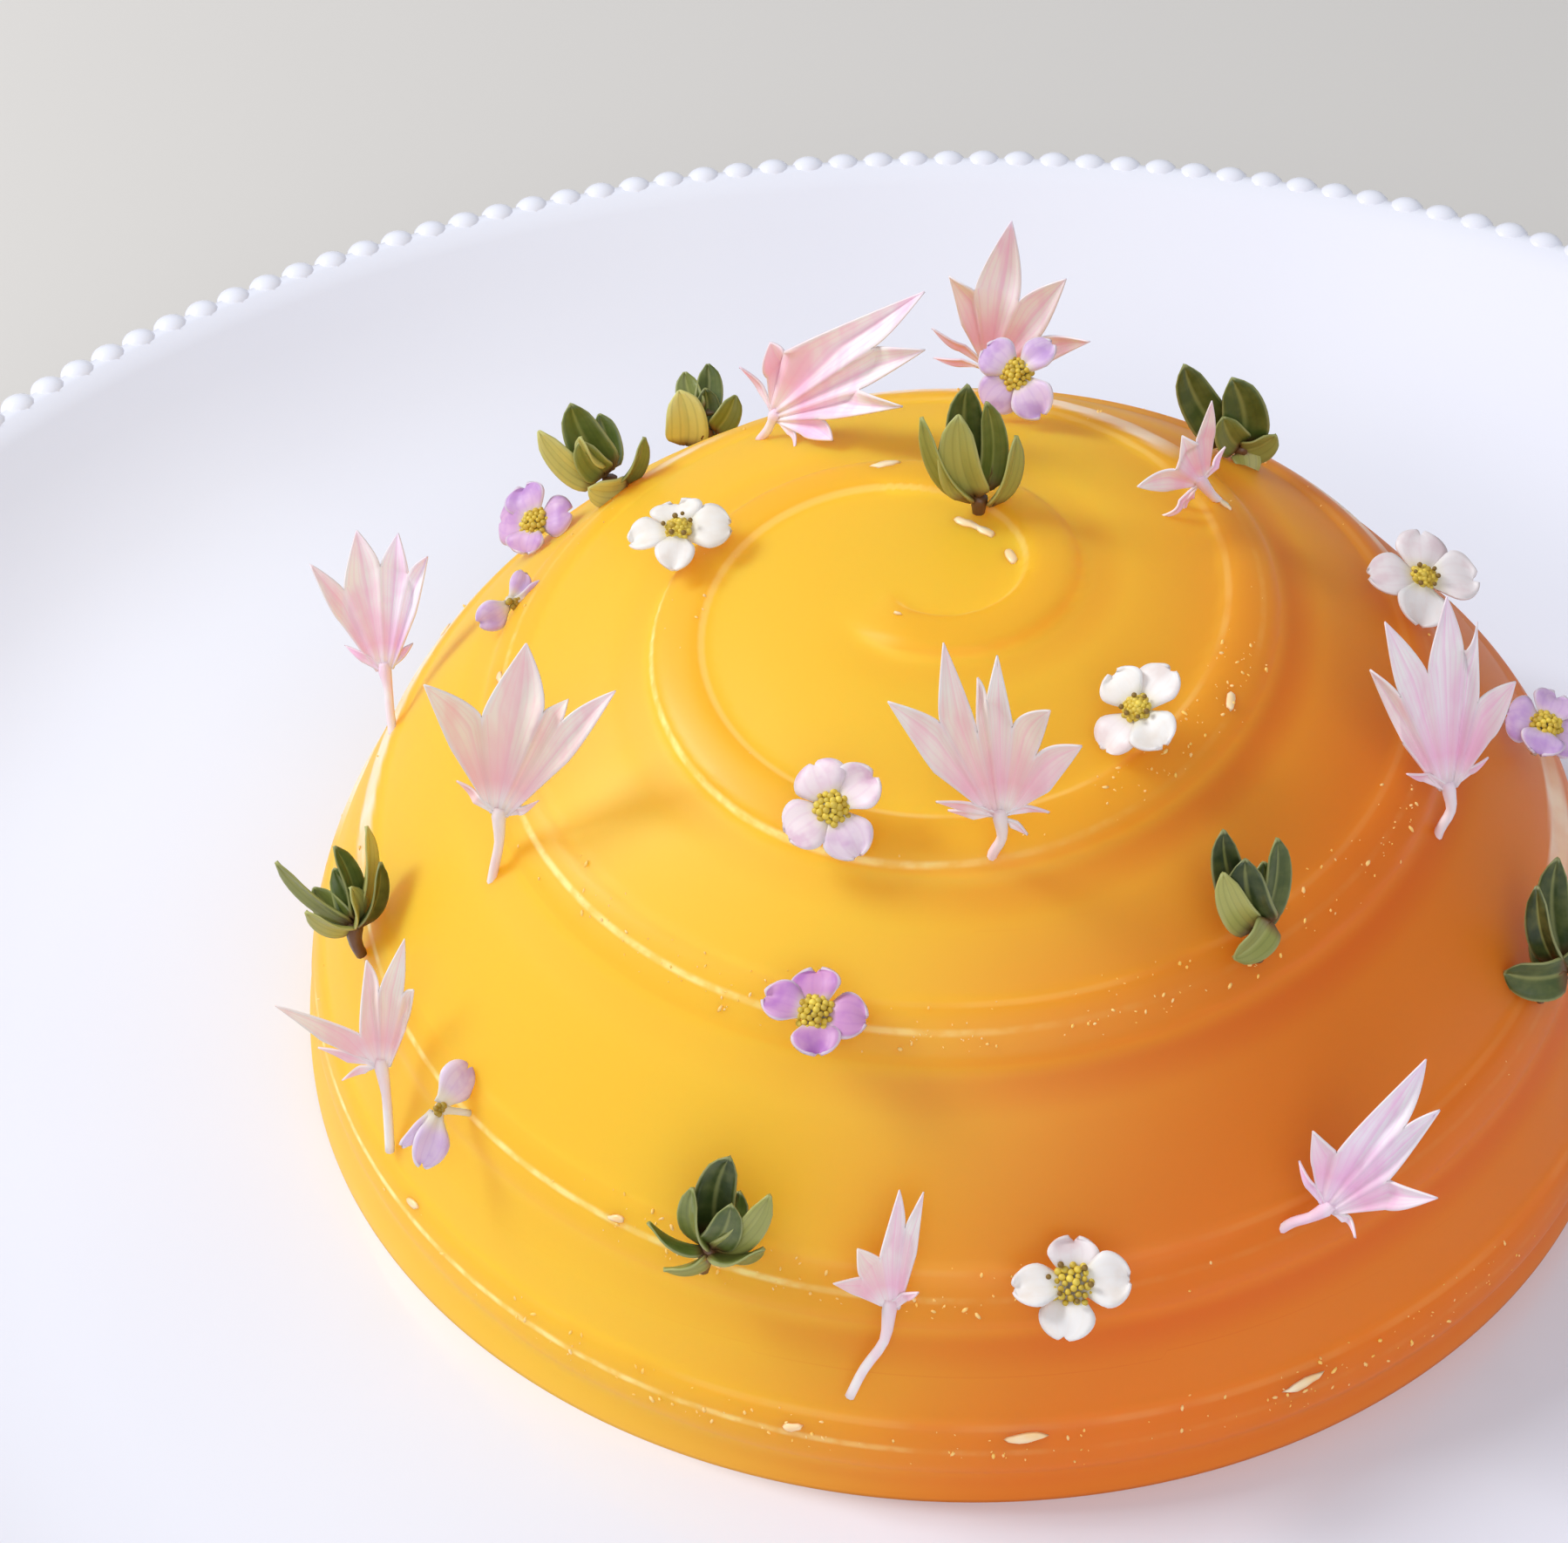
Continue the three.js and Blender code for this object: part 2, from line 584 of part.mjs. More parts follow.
const porcelain = material(0xf1f0f4, 0.22);
const glaze = material(0xf0a428, 0.25);
const pinkPetal = material(0xf3b9c8, 0.6);
const palePetal = material(0xf2e9f4, 0.55);
const leafGreen = material(0x4f6b2e, 0.55);

const dessert = new THREE.Group();

const plate = new THREE.Mesh(plateGeometry(), porcelain);
plate.name = 'plate';
dessert.add(plate);

const onPlate = new THREE.Group();
onPlate.position.z = WELL_HEIGHT + REST_GAP;
dessert.add(onPlate);

const dome = new THREE.Mesh(domeGeometry(), glaze);
dome.name = 'mousse_dome';
onPlate.add(dome);

const number = (i) => String(i + 1).padStart(2, '0');

for (const [i, row] of FLORETS.entries()) {
  const name = `pink_floret_${number(i)}`;
  onPlate.add(placeTopping(name, floretGeometry(row), pinkPetal, row, floretAxes(row), 1));
}

for (const [i, row] of BLOSSOMS.entries()) {
  const name = `blossom_${number(i)}`;
  onPlate.add(placeTopping(name, blossomGeometry(), palePetal, row, spunAxes(row), row.size));
}

for (const [i, row] of HERB_TIPS.entries()) {
  const name = `herb_tip_${number(i)}`;
  onPlate.add(placeTopping(name, herbTipGeometry(), leafGreen, row, spunAxes(row), row.size));
}

export default dessert;
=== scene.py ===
"""A glazed citrus mousse dome on a white beaded plate, dressed with florets, small blossoms and herb tips.
Lengths in the tables are millimetres; meshes are made in metres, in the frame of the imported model."""

import math

import bpy
import numpy as np
from mathutils import Matrix, Vector


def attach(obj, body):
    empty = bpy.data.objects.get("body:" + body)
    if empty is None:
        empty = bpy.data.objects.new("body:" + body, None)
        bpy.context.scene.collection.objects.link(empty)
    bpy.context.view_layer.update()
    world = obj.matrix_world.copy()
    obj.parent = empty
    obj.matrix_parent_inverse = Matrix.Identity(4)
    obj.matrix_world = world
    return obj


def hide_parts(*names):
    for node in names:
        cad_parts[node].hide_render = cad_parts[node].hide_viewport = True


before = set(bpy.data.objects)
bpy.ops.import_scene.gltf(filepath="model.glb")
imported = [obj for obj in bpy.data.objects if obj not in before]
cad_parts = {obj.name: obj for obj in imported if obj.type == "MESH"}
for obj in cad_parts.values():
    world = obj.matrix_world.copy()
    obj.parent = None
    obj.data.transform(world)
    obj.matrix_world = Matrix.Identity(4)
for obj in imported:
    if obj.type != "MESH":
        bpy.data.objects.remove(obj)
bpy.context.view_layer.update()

MM = 0.001
SEED = 7

# Camera, fitted to the plate's rim and the dome's foot in the photograph
LENS_MM = 70.04
SENSOR_MM = 36.0
CAMERA_HEIGHT_ANGLE = 44.168
CAMERA_DISTANCE = 190.67
CAMERA_PAN = 3.287
CAMERA_TILT = -3.643
CAMERA_ROLL = 0.883

# Plate
PLATE_RADIUS = 86.0
RIM_TOP = 15.0
WELL_HEIGHT = 5.0
WELL_RADIUS = 60.0
FOOT_INNER = 44.0
FOOT_OUTER = 49.0
FOOT_RECESS = 2.2
BEAD_COUNT = 186
PLATE_COLUMNS = 2 * BEAD_COUNT
# A bead's half sizes outwards, along the rim and upwards, and where its middle lies
BEAD_REACH = 1.44
BEAD_HALF_WIDTH = 1.46
BEAD_HALF_HEIGHT = 1.02
BEAD_RING_RADIUS = PLATE_RADIUS - 1.45
BEAD_RING_HEIGHT = RIM_TOP - 1.05

# Mousse dome
DOME_RADIUS = 40.0
DOME_HEIGHT = 33.0
DOME_FOOT = 5.3
SIDE_POWER = 2.45
CROWN_POWER = 1.6
SKIN_CELLS = 296
UNDERSIDE = WELL_HEIGHT - 0.05

# Piped ridge: distance of its crest over the skin from the piping centre, one for each quarter turn
PIPING_CENTRE = np.array([-2.5, -3.85])
RIDGE_START_TURN = -180.0
RIDGE_EACH_QUARTER = np.array([
    0.9, 1.1, 1.3, 1.6, 2.4, 4.4, 7.3, 9.7, 12.8, 17.6, 18.6, 23.3,
    24.7, 27.4, 30.2, 33.8, 38, 41, 44.5, 46.3, 47.4, 49.8, 56, 64,
])
HOOK_TURN = 240.0
RIDGE_END_TURN = 1820.0
FADE_TURN = 60.0
RIDGE_LAPS = 6
RIDGE_REACH = 5.0
RIDGE_HEIGHT = 0.52
# The distance from the ridge that stands for none nearby
NO_RIDGE = 99.0
# Share of its height that the ridge keeps at a turn
RIDGE_CALMS = [
    (720, 1.0), (870, 0.52), (960, 0.52), (1010, 0.8), (1110, 0.8), (1220, 0.5), (1320, 0.5), (1370, 0.8),
    (1470, 0.8), (1580, 0.5), (1680, 0.6), (1725, 0.9),
]
# The ridge's pale line is a painted highlight. It runs on its outer edge in the first lap, and on its crest
# further down.
# It is strongest at a bearing on the lit left side, and thins out to a share of that on the other sides.
HIGHLIGHT_PLACE = [(600, 1.5), (780, -0.1)]
HIGHLIGHT_START = (500, 545)
HIGHLIGHT_BEARING = 225.0
HIGHLIGHT_THIN = 0.2
# Peach flakes of glaze: turn along the ridge, distance across it and length
FLAKES = [
    (460, 0.5, 1.7), (420, -3.2, 1.9), (408, -2.9, 1.6), (381, -2.3, 1.6), (1719, -1.0, 2.3),
    (1742, -0.7, 2.6), (1659, -1.0, 1.3), (748, -0.2, 1.2), (256, -0.5, 0.5), (1700, -0.5, 1.3),
    (696, 0.3, 1.3), (1322, -0.3, 1.0), (900, 0.2, 1.2), (1160, -0.4, 1.4), (1235, 0.2, 1.2),
    (1500, 0.0, 1.5), (1590, -0.3, 1.3),
]
FLECKS = 640
# Stretches of the ridge with most flecks, the share of them that lies there, and the turns of the rest
FLECK_TURNS = [(664, 712), (940, 1000), (1004, 1064), (1320, 1362), (1672, 1724), (1728, 1768)]
FLECK_SHARE = 0.7
LOOSE_FLECK_TURNS = (520, 1760)
FLECK_LANES = [-1.2, 0.0, 0.4]
# Where the ridge's pale flank shows, partly cream mousse through thin glaze and partly a painted reflection
# where the ridge turns away near the dome's outline: turns from and to, middle across it and half width
CREAM_AND_SHEEN_STRETCHES = [
    (766, 798, 0.1, 1.0), (800, 822, 0.6, 1.0), (843, 854, 0.0, 0.7), (1104, 1124, 0.9, 1.1),
    (1474, 1488, -0.6, 1.0), (1430, 1450, -1.8, 1.1), (1206, 1228, -0.2, 0.7), (1228, 1268, -0.1, 1.1),
    (1594, 1612, -1.4, 0.8),
]
# How far the glaze stands out at a distance across the ridge, as a share of its height
RIDGE_SECTION = [
    (-5, 0), (-2.4, -0.04), (-1.85, 0.0), (-1.4, 0.62), (-0.8, 0.94), (0, 1), (0.8, 0.95), (1.4, 0.62),
    (1.85, -0.1), (2.4, -0.2), (3.2, -0.2), (4.2, -0.08), (5, 0),
]

# Garnish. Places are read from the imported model's nodes; shapes are given in each topping's own plane.
# Heading and rise are the way that a floret or herb tip grows, or that a blossom faces. Florets and herb tips
# show their faces to the front.
FRONT = np.array([0, -0.72, 0.69])
# Florets: throat, bend and foot of the stem, then the tips of the lobes, the notches between them and the
# short side lobes, each as (degrees, length) about the throat. Hue runs from peach 0 to lilac 1.
FLORETS = [
    dict(heading=234, rise=84, hue=0.35, stem=[(0.2, 2.1), (0.3, 0.5), (-0.3, -0.6)],
         tips=[(-30, 10.1), (-10, 12.3), (-4, 9.0), (2, 10.6), (19, 8.3), (44, 6.1)],
         notches=[(-20, 7.6), (-8, 6.0), (-2, 7.9), (8, 6.2), (24, 4.7)],
         sides=[(-58, 3.7), (-84, 2.6), (70, 2.6), (138, 2.0)]),
    dict(heading=235, rise=62, hue=0.85, stem=[(-0.7, 1.6), (-0.4, -0.2), (0, -2.0)],
         tips=[(-43, 5.2), (0, 4.7), (18, 6.9)],
         notches=[(-22, 3.0), (8, 3.8)],
         sides=[(-100, 3.2), (-140, 2.7), (60, 2.4)]),
    dict(heading=316, rise=67, hue=1.0, stem=[(-0.1, 1.0), (0, 0.6), (0.1, 0)],
         tips=[(-38, 7.6), (-14, 11.5), (10, 10.0), (35, 8.3)],
         notches=[(-27, 6.4), (-2, 6.5), (21, 5.2)],
         sides=[(-70, 4.6), (-110, 3.8), (62, 3.2)]),
    dict(heading=329, rise=50, hue=0.8, stem=[(-0.6, 0.7), (-0.4, 0.3), (-0.2, -0.4)],
         tips=[(-42, 4.9), (0, 14.5), (12, 13.2), (25, 10.9), (42, 5.3)],
         notches=[(-30, 4.6), (5, 10.2), (16, 8.0), (28, 4.2)],
         sides=[(-76, 3.4), (68, 2.8)]),
    dict(heading=28, rise=77, hue=0.12, stem=[(-0.3, 3.3), (0, 1.6), (-0.1, -0.2)],
         tips=[(-31, 9.1), (-1, 10.3), (18, 8.4), (27, 11.4)],
         notches=[(-15, 6.2), (12, 7.4), (20, 7.4)],
         sides=[(-62, 2.9), (58, 2.3)]),
    dict(heading=168, rise=80, hue=0.8, stem=[(0.4, 2.5), (0.5, 1.0), (-0.3, -0.2)],
         tips=[(-22, 9.1), (-12, 11.4), (4, 12.1), (13, 10.3), (30, 7.6)],
         notches=[(-17, 7.2), (-4, 7.8), (9, 8.9), (18, 5.8)],
         sides=[(-44, 3.4), (52, 2.8)]),
    dict(heading=110, rise=60, hue=0.8, stem=[(0.4, 2.5), (0.4, 1.4), (0.2, 0.0)],
         tips=[(-23, 7.7), (0, 8.5), (17, 8.3), (32, 7.5)],
         notches=[(-15, 5.3), (9, 6.2), (25, 6.0)],
         sides=[(-48, 2.8), (56, 2.4)]),
    dict(heading=70, rise=77, hue=0.3, stem=[(-0.5, 3.8), (-0.2, 2.0), (-0.1, 0)],
         tips=[(-56, 6.8), (-8, 6.5), (9, 8.6), (19, 5.8)],
         notches=[(-28, 2.3), (-1, 4.9), (14, 4.9)],
         sides=[(-76, 3.6), (-112, 2.2)]),
    dict(heading=62, rise=73, hue=0.5, stem=[(0.2, 3.6), (0.3, 1.6), (-0.6, -0.4)],
         tips=[(-64, 3.3), (-32, 3.9), (-4, 7.0), (6, 6.8)],
         notches=[(-45, 2.3), (-17, 3.0), (1, 4.9)],
         sides=[(36, 2.2)]),
    dict(heading=353, rise=64, hue=0.85, stem=[(0.5, 1.7), (0.2, 0.6), (-0.3, -0.4)],
         tips=[(-38, 5.3), (-7, 11.1), (5, 9.1), (32, 6.5)],
         notches=[(-24, 3.9), (0, 7.2), (16, 4.2)],
         sides=[(-62, 3.0), (82, 1.9)]),
    dict(heading=78, rise=24, hue=0.3, stem=[(0, 1.3), (0, 0.5), (0, -0.4)],
         tips=[(-50, 3.8), (-24, 5.2), (0, 5.9), (24, 5.2), (48, 3.9)],
         notches=[(-36, 2.5), (-12, 3.4), (12, 3.3), (35, 2.6)],
         sides=[(-74, 2.2)]),
    dict(heading=106, rise=24, hue=0.7, stem=[(0, 1.2), (0, 0.5), (0, -0.4)],
         tips=[(-46, 3.6), (-20, 5.4), (4, 5.7), (28, 4.8), (52, 3.4)],
         notches=[(-34, 2.4), (-8, 3.3), (16, 3.2), (40, 2.3)],
         sides=[(76, 2.0)]),
]
# Blossoms: petals as (degrees, length, half width) about their middle. Tone runs from white 0 through
# pink 0.3 and lilac 0.6 to violet 1.
BLOSSOMS = [
    dict(heading=250, rise=76, spin=20, tone=0.02, heart="stamens", middle=(-0.3, 0.4),
         petals=[(-167, 2.8, 1.1), (-92, 2.9, 1.1), (5, 2.9, 1.4), (97, 2.1, 1.5)]),
    dict(heading=265, rise=50, spin=30, tone=0.3, heart="button", middle=(0, 0),
         petals=[(88, 2.5, 1.4), (12, 2.7, 1.35), (-174, 2.7, 1.4), (-88, 2.8, 1.35)]),
    dict(heading=240, rise=55, spin=10, tone=0.0, heart="stamens", middle=(-0.2, 0.2),
         petals=[(62, 2.7, 1.35), (136, 2.3, 1.25), (-116, 2.7, 1.3), (-42, 2.6, 1.3)]),
    dict(heading=255, rise=45, spin=35, tone=0.55, heart="button", middle=(0, 0.4),
         petals=[(116, 2.5, 1.25), (16, 2.7, 1.0), (-160, 2.6, 1.3), (-84, 3.0, 1.3)]),
    dict(heading=230, rise=50, spin=15, tone=0.75, heart="button", middle=(0.6, -1.2),
         petals=[(-176, 2.7, 1.5), (-84, 2.0, 1.4), (28, 2.5, 1.4), (125, 2.6, 1.4)]),
    dict(heading=200, rise=25, spin=40, tone=0.6, heart="bud", middle=(-0.2, -0.3),
         petals=[(129, 2.3, 0.9), (-62, 2.6, 0.75), (-20, 2.1, 0.6)]),
    dict(heading=262, rise=62, spin=5, tone=0.95, heart="button", middle=(-0.1, 0.1),
         petals=[(92, 2.3, 1.3), (164, 2.7, 1.1), (-6, 2.6, 1.25), (-82, 2.3, 1.25)]),
    dict(heading=300, rise=62, spin=30, tone=0.06, heart="stamens", middle=(0.4, -0.1),
         petals=[(128, 3.3, 1.4), (-155, 3.2, 1.6), (32, 3.1, 1.6), (-50, 3.2, 1.6)]),
    dict(heading=50, rise=30, spin=20, tone=0.2, heart="button", middle=(0, 0),
         petals=[(5, 2.5, 1.25), (94, 2.4, 1.3), (184, 2.6, 1.2), (272, 2.5, 1.3)]),
    dict(heading=205, rise=25, spin=15, tone=0.5, heart="bud", middle=(0.2, 1.0),
         petals=[(-36, 2.9, 1.15), (168, 3.2, 0.95), (140, 2.7, 0.4)]),
    dict(heading=268, rise=58, spin=0, tone=0.0, heart="open", middle=(-0.3, 0),
         petals=[(91, 2.3, 1.3), (7, 2.8, 1.4), (-98, 2.8, 1.4), (-172, 3.0, 1.1)]),
    dict(heading=290, rise=70, spin=25, tone=0.6, heart="button", middle=(0.3, 0.3),
         petals=[(124, 2.2, 1.4), (-150, 2.1, 1.3), (-67, 2.3, 1.3), (22, 2.3, 1.3)]),
    dict(heading=92, rise=35, spin=10, tone=0.1, heart="button", middle=(0, 0),
         petals=[(-4, 2.5, 1.3), (88, 2.5, 1.25), (176, 2.6, 1.3), (268, 2.5, 1.2)]),
]
# Herb tips: leaves as (foot x, y, tip x, y, half width, tip's depth towards the front, tint). Tint runs from
# dark 0 to pale 1.
HERB_TIPS = [
    dict(heading=189, rise=84, spin=10, leaves=[
        (0.2, 1.0, 0.2, 7.4, 1.08, -0.7, 0.15), (0.6, 0.8, 1.1, 6.5, 0.72, -0.1, 0.3),
        (-0.3, 0.2, -2.5, 6.4, 0.44, 0.3, 0.6), (0.7, -0.2, 2.5, 4.4, 0.56, 0.4, 0.7),
        (-0.1, 0.6, -0.5, 6.5, 1.1, 0.7, 0.62)]),
    dict(heading=168, rise=74, spin=30, leaves=[
        (0.2, 0.4, -0.5, 5.3, 1.15, -0.6, 0.25), (-0.8, 0.2, -2.8, 4.7, 0.78, 0.1, 0.88),
        (-0.1, 0.6, -0.7, 3.5, 0.85, 0.8, 0.5), (0.6, -0.5, 2.9, 2.0, 0.52, 0.2, 0.45),
        (0.8, -0.8, -1.2, 0.8, 0.92, 1.6, 0.95), (-0.1, 1.4, -0.6, 3.9, 0.45, 1.1, 0.8)]),
    dict(heading=144, rise=82, spin=60, leaves=[
        (-0.2, 1.0, -1.2, 6.6, 0.8, -0.7, 0.0), (0.4, 0.9, 1.4, 5.8, 0.68, -0.5, 0.2),
        (0.3, 1.0, -0.3, 5.2, 1.04, 0, 0.0), (-0.1, 0.8, -1.5, 4.9, 0.78, 0.5, 0.7),
        (0.7, 1.3, -1.4, 0.4, 1.0, 1.7, 0.6)]),
    dict(heading=196, rise=74, spin=75, leaves=[
        (-0.6, 1.2, -2.0, 7.4, 1.1, -0.5, 0.2), (0, 0.8, 0.4, 5.6, 1.25, 0, 0.15),
        (-0.2, 0.8, -0.8, 3.7, 0.92, 0.7, 0.4), (-0.1, 0.4, 1.9, 1.2, 0.9, 1.0, 0.55),
        (-0.1, 0.3, -0.7, -0.6, 0.8, 1.4, 0.7)]),
    dict(heading=110, rise=72, spin=20, leaves=[
        (-1.6, -1.2, -1.5, 2.5, 1.22, 0.3, 0.9), (0.4, -0.5, 2.0, 1.7, 0.78, 0.1, 0.4),
        (-0.4, -0.8, 0.1, 2.2, 0.8, -0.5, 0.2)]),
    dict(heading=175, rise=66, spin=45, leaves=[
        (0.6, 0.8, -0.9, 6.5, 0.6, -0.3, 0.55), (0.5, 0.5, -1.0, 3.4, 0.56, 0.7, 0.7),
        (0.9, 0.9, 2.2, 5.4, 0.48, -0.5, 0.2), (1.0, 0.9, 4.4, 5.7, 0.42, -0.1, 0.75),
        (0.9, 0.5, 4.0, 3.7, 0.6, 0.6, 0.1), (0.9, 0.8, 1.9, 3.5, 0.5, 1.0, 0.6)]),
    dict(heading=330, rise=78, spin=0, leaves=[
        (0.3, 1.5, 0, 7.7, 0.98, -0.6, 0.1), (0, 1.2, 0.7, 5.5, 0.85, 0.5, 0.25),
        (-0.1, 0.8, -1.4, 5.3, 0.64, 0.1, 0.4), (-0.2, 0.5, -3.2, 1.9, 0.56, 0.5, 0.3),
        (0.2, 0.3, -1.8, -0.2, 0.7, 1.5, 0.6), (0.3, 0.8, 2.4, 6.5, 0.74, 0, 0.65),
        (0.3, 0.4, 2.8, 3.0, 0.54, 0.7, 0.45)]),
    dict(heading=60, rise=74, spin=35, leaves=[
        (0.8, 1.2, -0.9, 7.2, 0.92, -0.4, 0.0), (0.4, 1.2, -1.7, 5.7, 0.66, 0.3, 0.0),
        (1.0, 0.9, -2.4, 0.7, 1.15, 1.2, 0.15), (0.8, 0.9, 2.4, 5.0, 0.8, 0, 0.1)]),
    dict(heading=66, rise=20, spin=15, leaves=[
        (0, 0.4, 0, 3.8, 0.9, 0.3, 0.2), (-0.2, 0.3, -1.8, 3.0, 0.7, 0.5, 0.5),
        (0.2, 0.3, 1.9, 2.9, 0.7, 0.5, 0.4)]),
    dict(heading=122, rise=18, spin=50, leaves=[
        (0, 0.4, 0.2, 3.6, 0.9, 0.3, 0.3), (-0.2, 0.3, -1.9, 2.8, 0.7, 0.4, 0.2),
        (0.2, 0.3, 1.7, 3.0, 0.7, 0.6, 0.6)]),
]


# A petal's or leaf's values: where a corner lies along and across it, whether it is on the rim, and its tint
SHEET_VALUES = ("along", "across", "rim", "tint")


# ---------------------------------------------------------------- small helpers

def smoothstep(value, low, high):
    """Rises smoothly from 0 at one value to 1 at another."""
    part = np.clip((value - low) / (high - low), 0, 1)
    return part * part * (3 - 2 * part)


def direction(heading, rise):
    """A unit way from its heading about the plate and its rise, in degrees."""
    h, r = math.radians(heading), math.radians(rise)
    return np.array([math.cos(h) * math.cos(r), math.sin(h) * math.cos(r), math.sin(r)])


def turned(vector, axis, degrees):
    """A way turned about a unit axis."""
    angle = math.radians(degrees)
    return (vector * math.cos(angle) + np.cross(axis, vector) * math.sin(angle)
            + axis * np.dot(axis, vector) * (1 - math.cos(angle)))


def upright_axes(row):
    """Axes across, up and out of the face of a floret or herb tip."""
    along = direction(row["heading"], row["rise"])
    face = FRONT - along * np.dot(FRONT, along)
    face /= np.linalg.norm(face)
    return np.array([np.cross(along, face), along, face])


def facing_axes(row):
    """Axes of a blossom that faces a way, spun about it."""
    face = direction(row["heading"], row["rise"])
    h = math.radians(row["heading"])
    side = turned(np.array([-math.sin(h), math.cos(h), 0.0]), face, row["spin"])
    return np.array([side, np.cross(face, side), face])


def numbered(stem, rows):
    return [f"{stem}_{i + 1:02d}" for i in range(len(rows))]


def placed(origin, axes):
    """Takes a topping's own coordinates to its place on the dome."""
    return lambda local: origin + np.asarray(local) @ axes


def node_points(name):
    """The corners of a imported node, in millimetres."""
    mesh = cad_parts[name].data
    points = np.empty(len(mesh.vertices) * 3)
    mesh.vertices.foreach_get("co", points)
    return points.reshape(-1, 3) / MM


def lowest_along(name, axis):
    """Middle of a node's corners that lie furthest back along an axis: the foot of its stem."""
    points = node_points(name)
    reach = points @ axis
    return points[reach < reach.min() + 0.02].mean(0)


class Shape:
    """Corners, faces and per-corner values gathered for one mesh."""

    def __init__(self, *values):
        self.points, self.faces = [], []
        self.values = {name: [] for name in values}
        self.count = 0

    def add(self, points, faces, **values):
        points = np.asarray(points, float).reshape(-1, 3)
        self.points.append(points)
        self.faces += [[self.count + i for i in face] for face in faces]
        for name, kept in self.values.items():
            kept.append(np.broadcast_to(np.asarray(values.get(name, 0.0), float), (len(points),)))
        self.count += len(points)

    def make(self, name, material):
        mesh = bpy.data.meshes.new(name)
        mesh.from_pydata((np.concatenate(self.points) * MM).tolist(), [], self.faces)
        for value, kept in self.values.items():
            mesh.attributes.new(value, "FLOAT", "POINT").data.foreach_set("value", np.concatenate(kept))
        mesh.shade_smooth()
        mesh.materials.append(material)
        made = bpy.data.objects.new(name, mesh)
        bpy.context.scene.collection.objects.link(made)
        return made


def grid_faces(rows, columns, around=False, start=0):
    """Four-sided faces over rows of corners, closed round each row or left open."""
    faces = []
    wide = columns if around else columns - 1
    for i in range(rows - 1):
        for j in range(wide):
            a, b = i * columns + j, i * columns + (j + 1) % columns
            faces.append([start + a, start + b, start + b + columns, start + a + columns])
    return faces


def bake_modifier(made):
    """The evaluated mesh takes the place of the modifier that made it."""
    bpy.context.view_layer.update()
    result = bpy.data.meshes.new_from_object(made.evaluated_get(bpy.context.evaluated_depsgraph_get()))
    result.name = made.name
    made.modifiers.clear()
    made.data = result
    return made


# ---------------------------------------------------------------- node helpers

def fill(tree, node, inputs):
    """Sets each of a node's inputs to a number or joins it to a socket."""
    for key, value in inputs.items():
        socket = node.inputs[key]
        if isinstance(value, bpy.types.NodeSocket):
            tree.links.new(value, socket)
        else:
            socket.default_value = value


def add(tree, kind, inputs=None, **settings):
    """A node with its settings and inputs."""
    made = tree.nodes.new(kind)
    for key, value in settings.items():
        setattr(made, key, value)
    fill(tree, made, inputs or {})
    return made


def maths(tree, operation, *values):
    return add(tree, "ShaderNodeMath", dict(enumerate(values)), operation=operation).outputs[0]


def product(tree, first, *others):
    for other in others:
        first = maths(tree, "MULTIPLY", first, other)
    return first


def waves(tree, value, turns):
    """Fine ribs over a value, from -1 to 1."""
    return maths(tree, "SINE", product(tree, value, turns))


def attribute(tree, name):
    return add(tree, "ShaderNodeAttribute", attribute_name=name).outputs["Fac"]


def sheet_values(tree):
    return (attribute(tree, name) for name in SHEET_VALUES)


def noise(tree, scale, detail=3.0, roughness=0.5, stretch=(1, 1, 1)):
    place = add(tree, "ShaderNodeTexCoord").outputs["Object"]
    if stretch != (1, 1, 1):
        place = add(tree, "ShaderNodeMapping", {"Vector": place, "Scale": stretch}).outputs[0]
    return add(tree, "ShaderNodeTexNoise", {
        "Vector": place, "Scale": scale, "Detail": detail, "Roughness": roughness,
    }).outputs["Fac"]


def reach_along(tree, way):
    """How far a point of the piece lies along a way."""
    place = add(tree, "ShaderNodeTexCoord").outputs["Object"]
    return add(tree, "ShaderNodeVectorMath", {0: place, 1: way}, operation="DOT_PRODUCT").outputs["Value"]


def ramp(tree, value, stops):
    made = add(tree, "ShaderNodeValToRGB", {0: value})
    bands = made.color_ramp.elements
    while len(bands) < len(stops):
        bands.new(0.5)
    for band, (place, colour) in zip(bands, stops):
        band.position = place
        band.color = (*colour, 1)
    return made.outputs["Color"]


def remap(tree, value, low, high, to_low=0.0, to_high=1.0, smooth=False):
    return add(tree, "ShaderNodeMapRange", {0: value, 1: low, 2: high, 3: to_low, 4: to_high},
               interpolation_type="SMOOTHSTEP" if smooth else "LINEAR").outputs[0]


def blend(tree, share, first, second, kind="MIX"):
    made = add(tree, "ShaderNodeMix", data_type="RGBA", blend_type=kind)
    for socket, value in ((made.inputs[0], share), (made.inputs[6], first), (made.inputs[7], second)):
        if isinstance(value, bpy.types.NodeSocket):
            tree.links.new(value, socket)
        elif isinstance(value, (int, float)):
            socket.default_value = value
        else:
            socket.default_value = (*value, 1)
    return made.outputs[2]


def new_material(name):
    made = bpy.data.materials.new(name)
    made.use_nodes = True
    tree = made.node_tree
    return made, tree, tree.nodes["Principled BSDF"]


def bump(tree, height, strength, distance):
    return add(tree, "ShaderNodeBump", {
        "Height": height, "Strength": strength, "Distance": distance,
    }).outputs["Normal"]


def new_tree(name, **inputs):
    """A geometry tree with named inputs, given with their kinds, and the sockets that bring them in."""
    tree = bpy.data.node_groups.new(name, "GeometryNodeTree")
    for label, kind in {"Geometry": "Geometry", **inputs}.items():
        tree.interface.new_socket(label.replace("_", " "), in_out="INPUT", socket_type="NodeSocket" + kind)
    tree.interface.new_socket("Geometry", in_out="OUTPUT", socket_type="NodeSocketGeometry")
    return tree, tree.nodes.new("NodeGroupInput").outputs


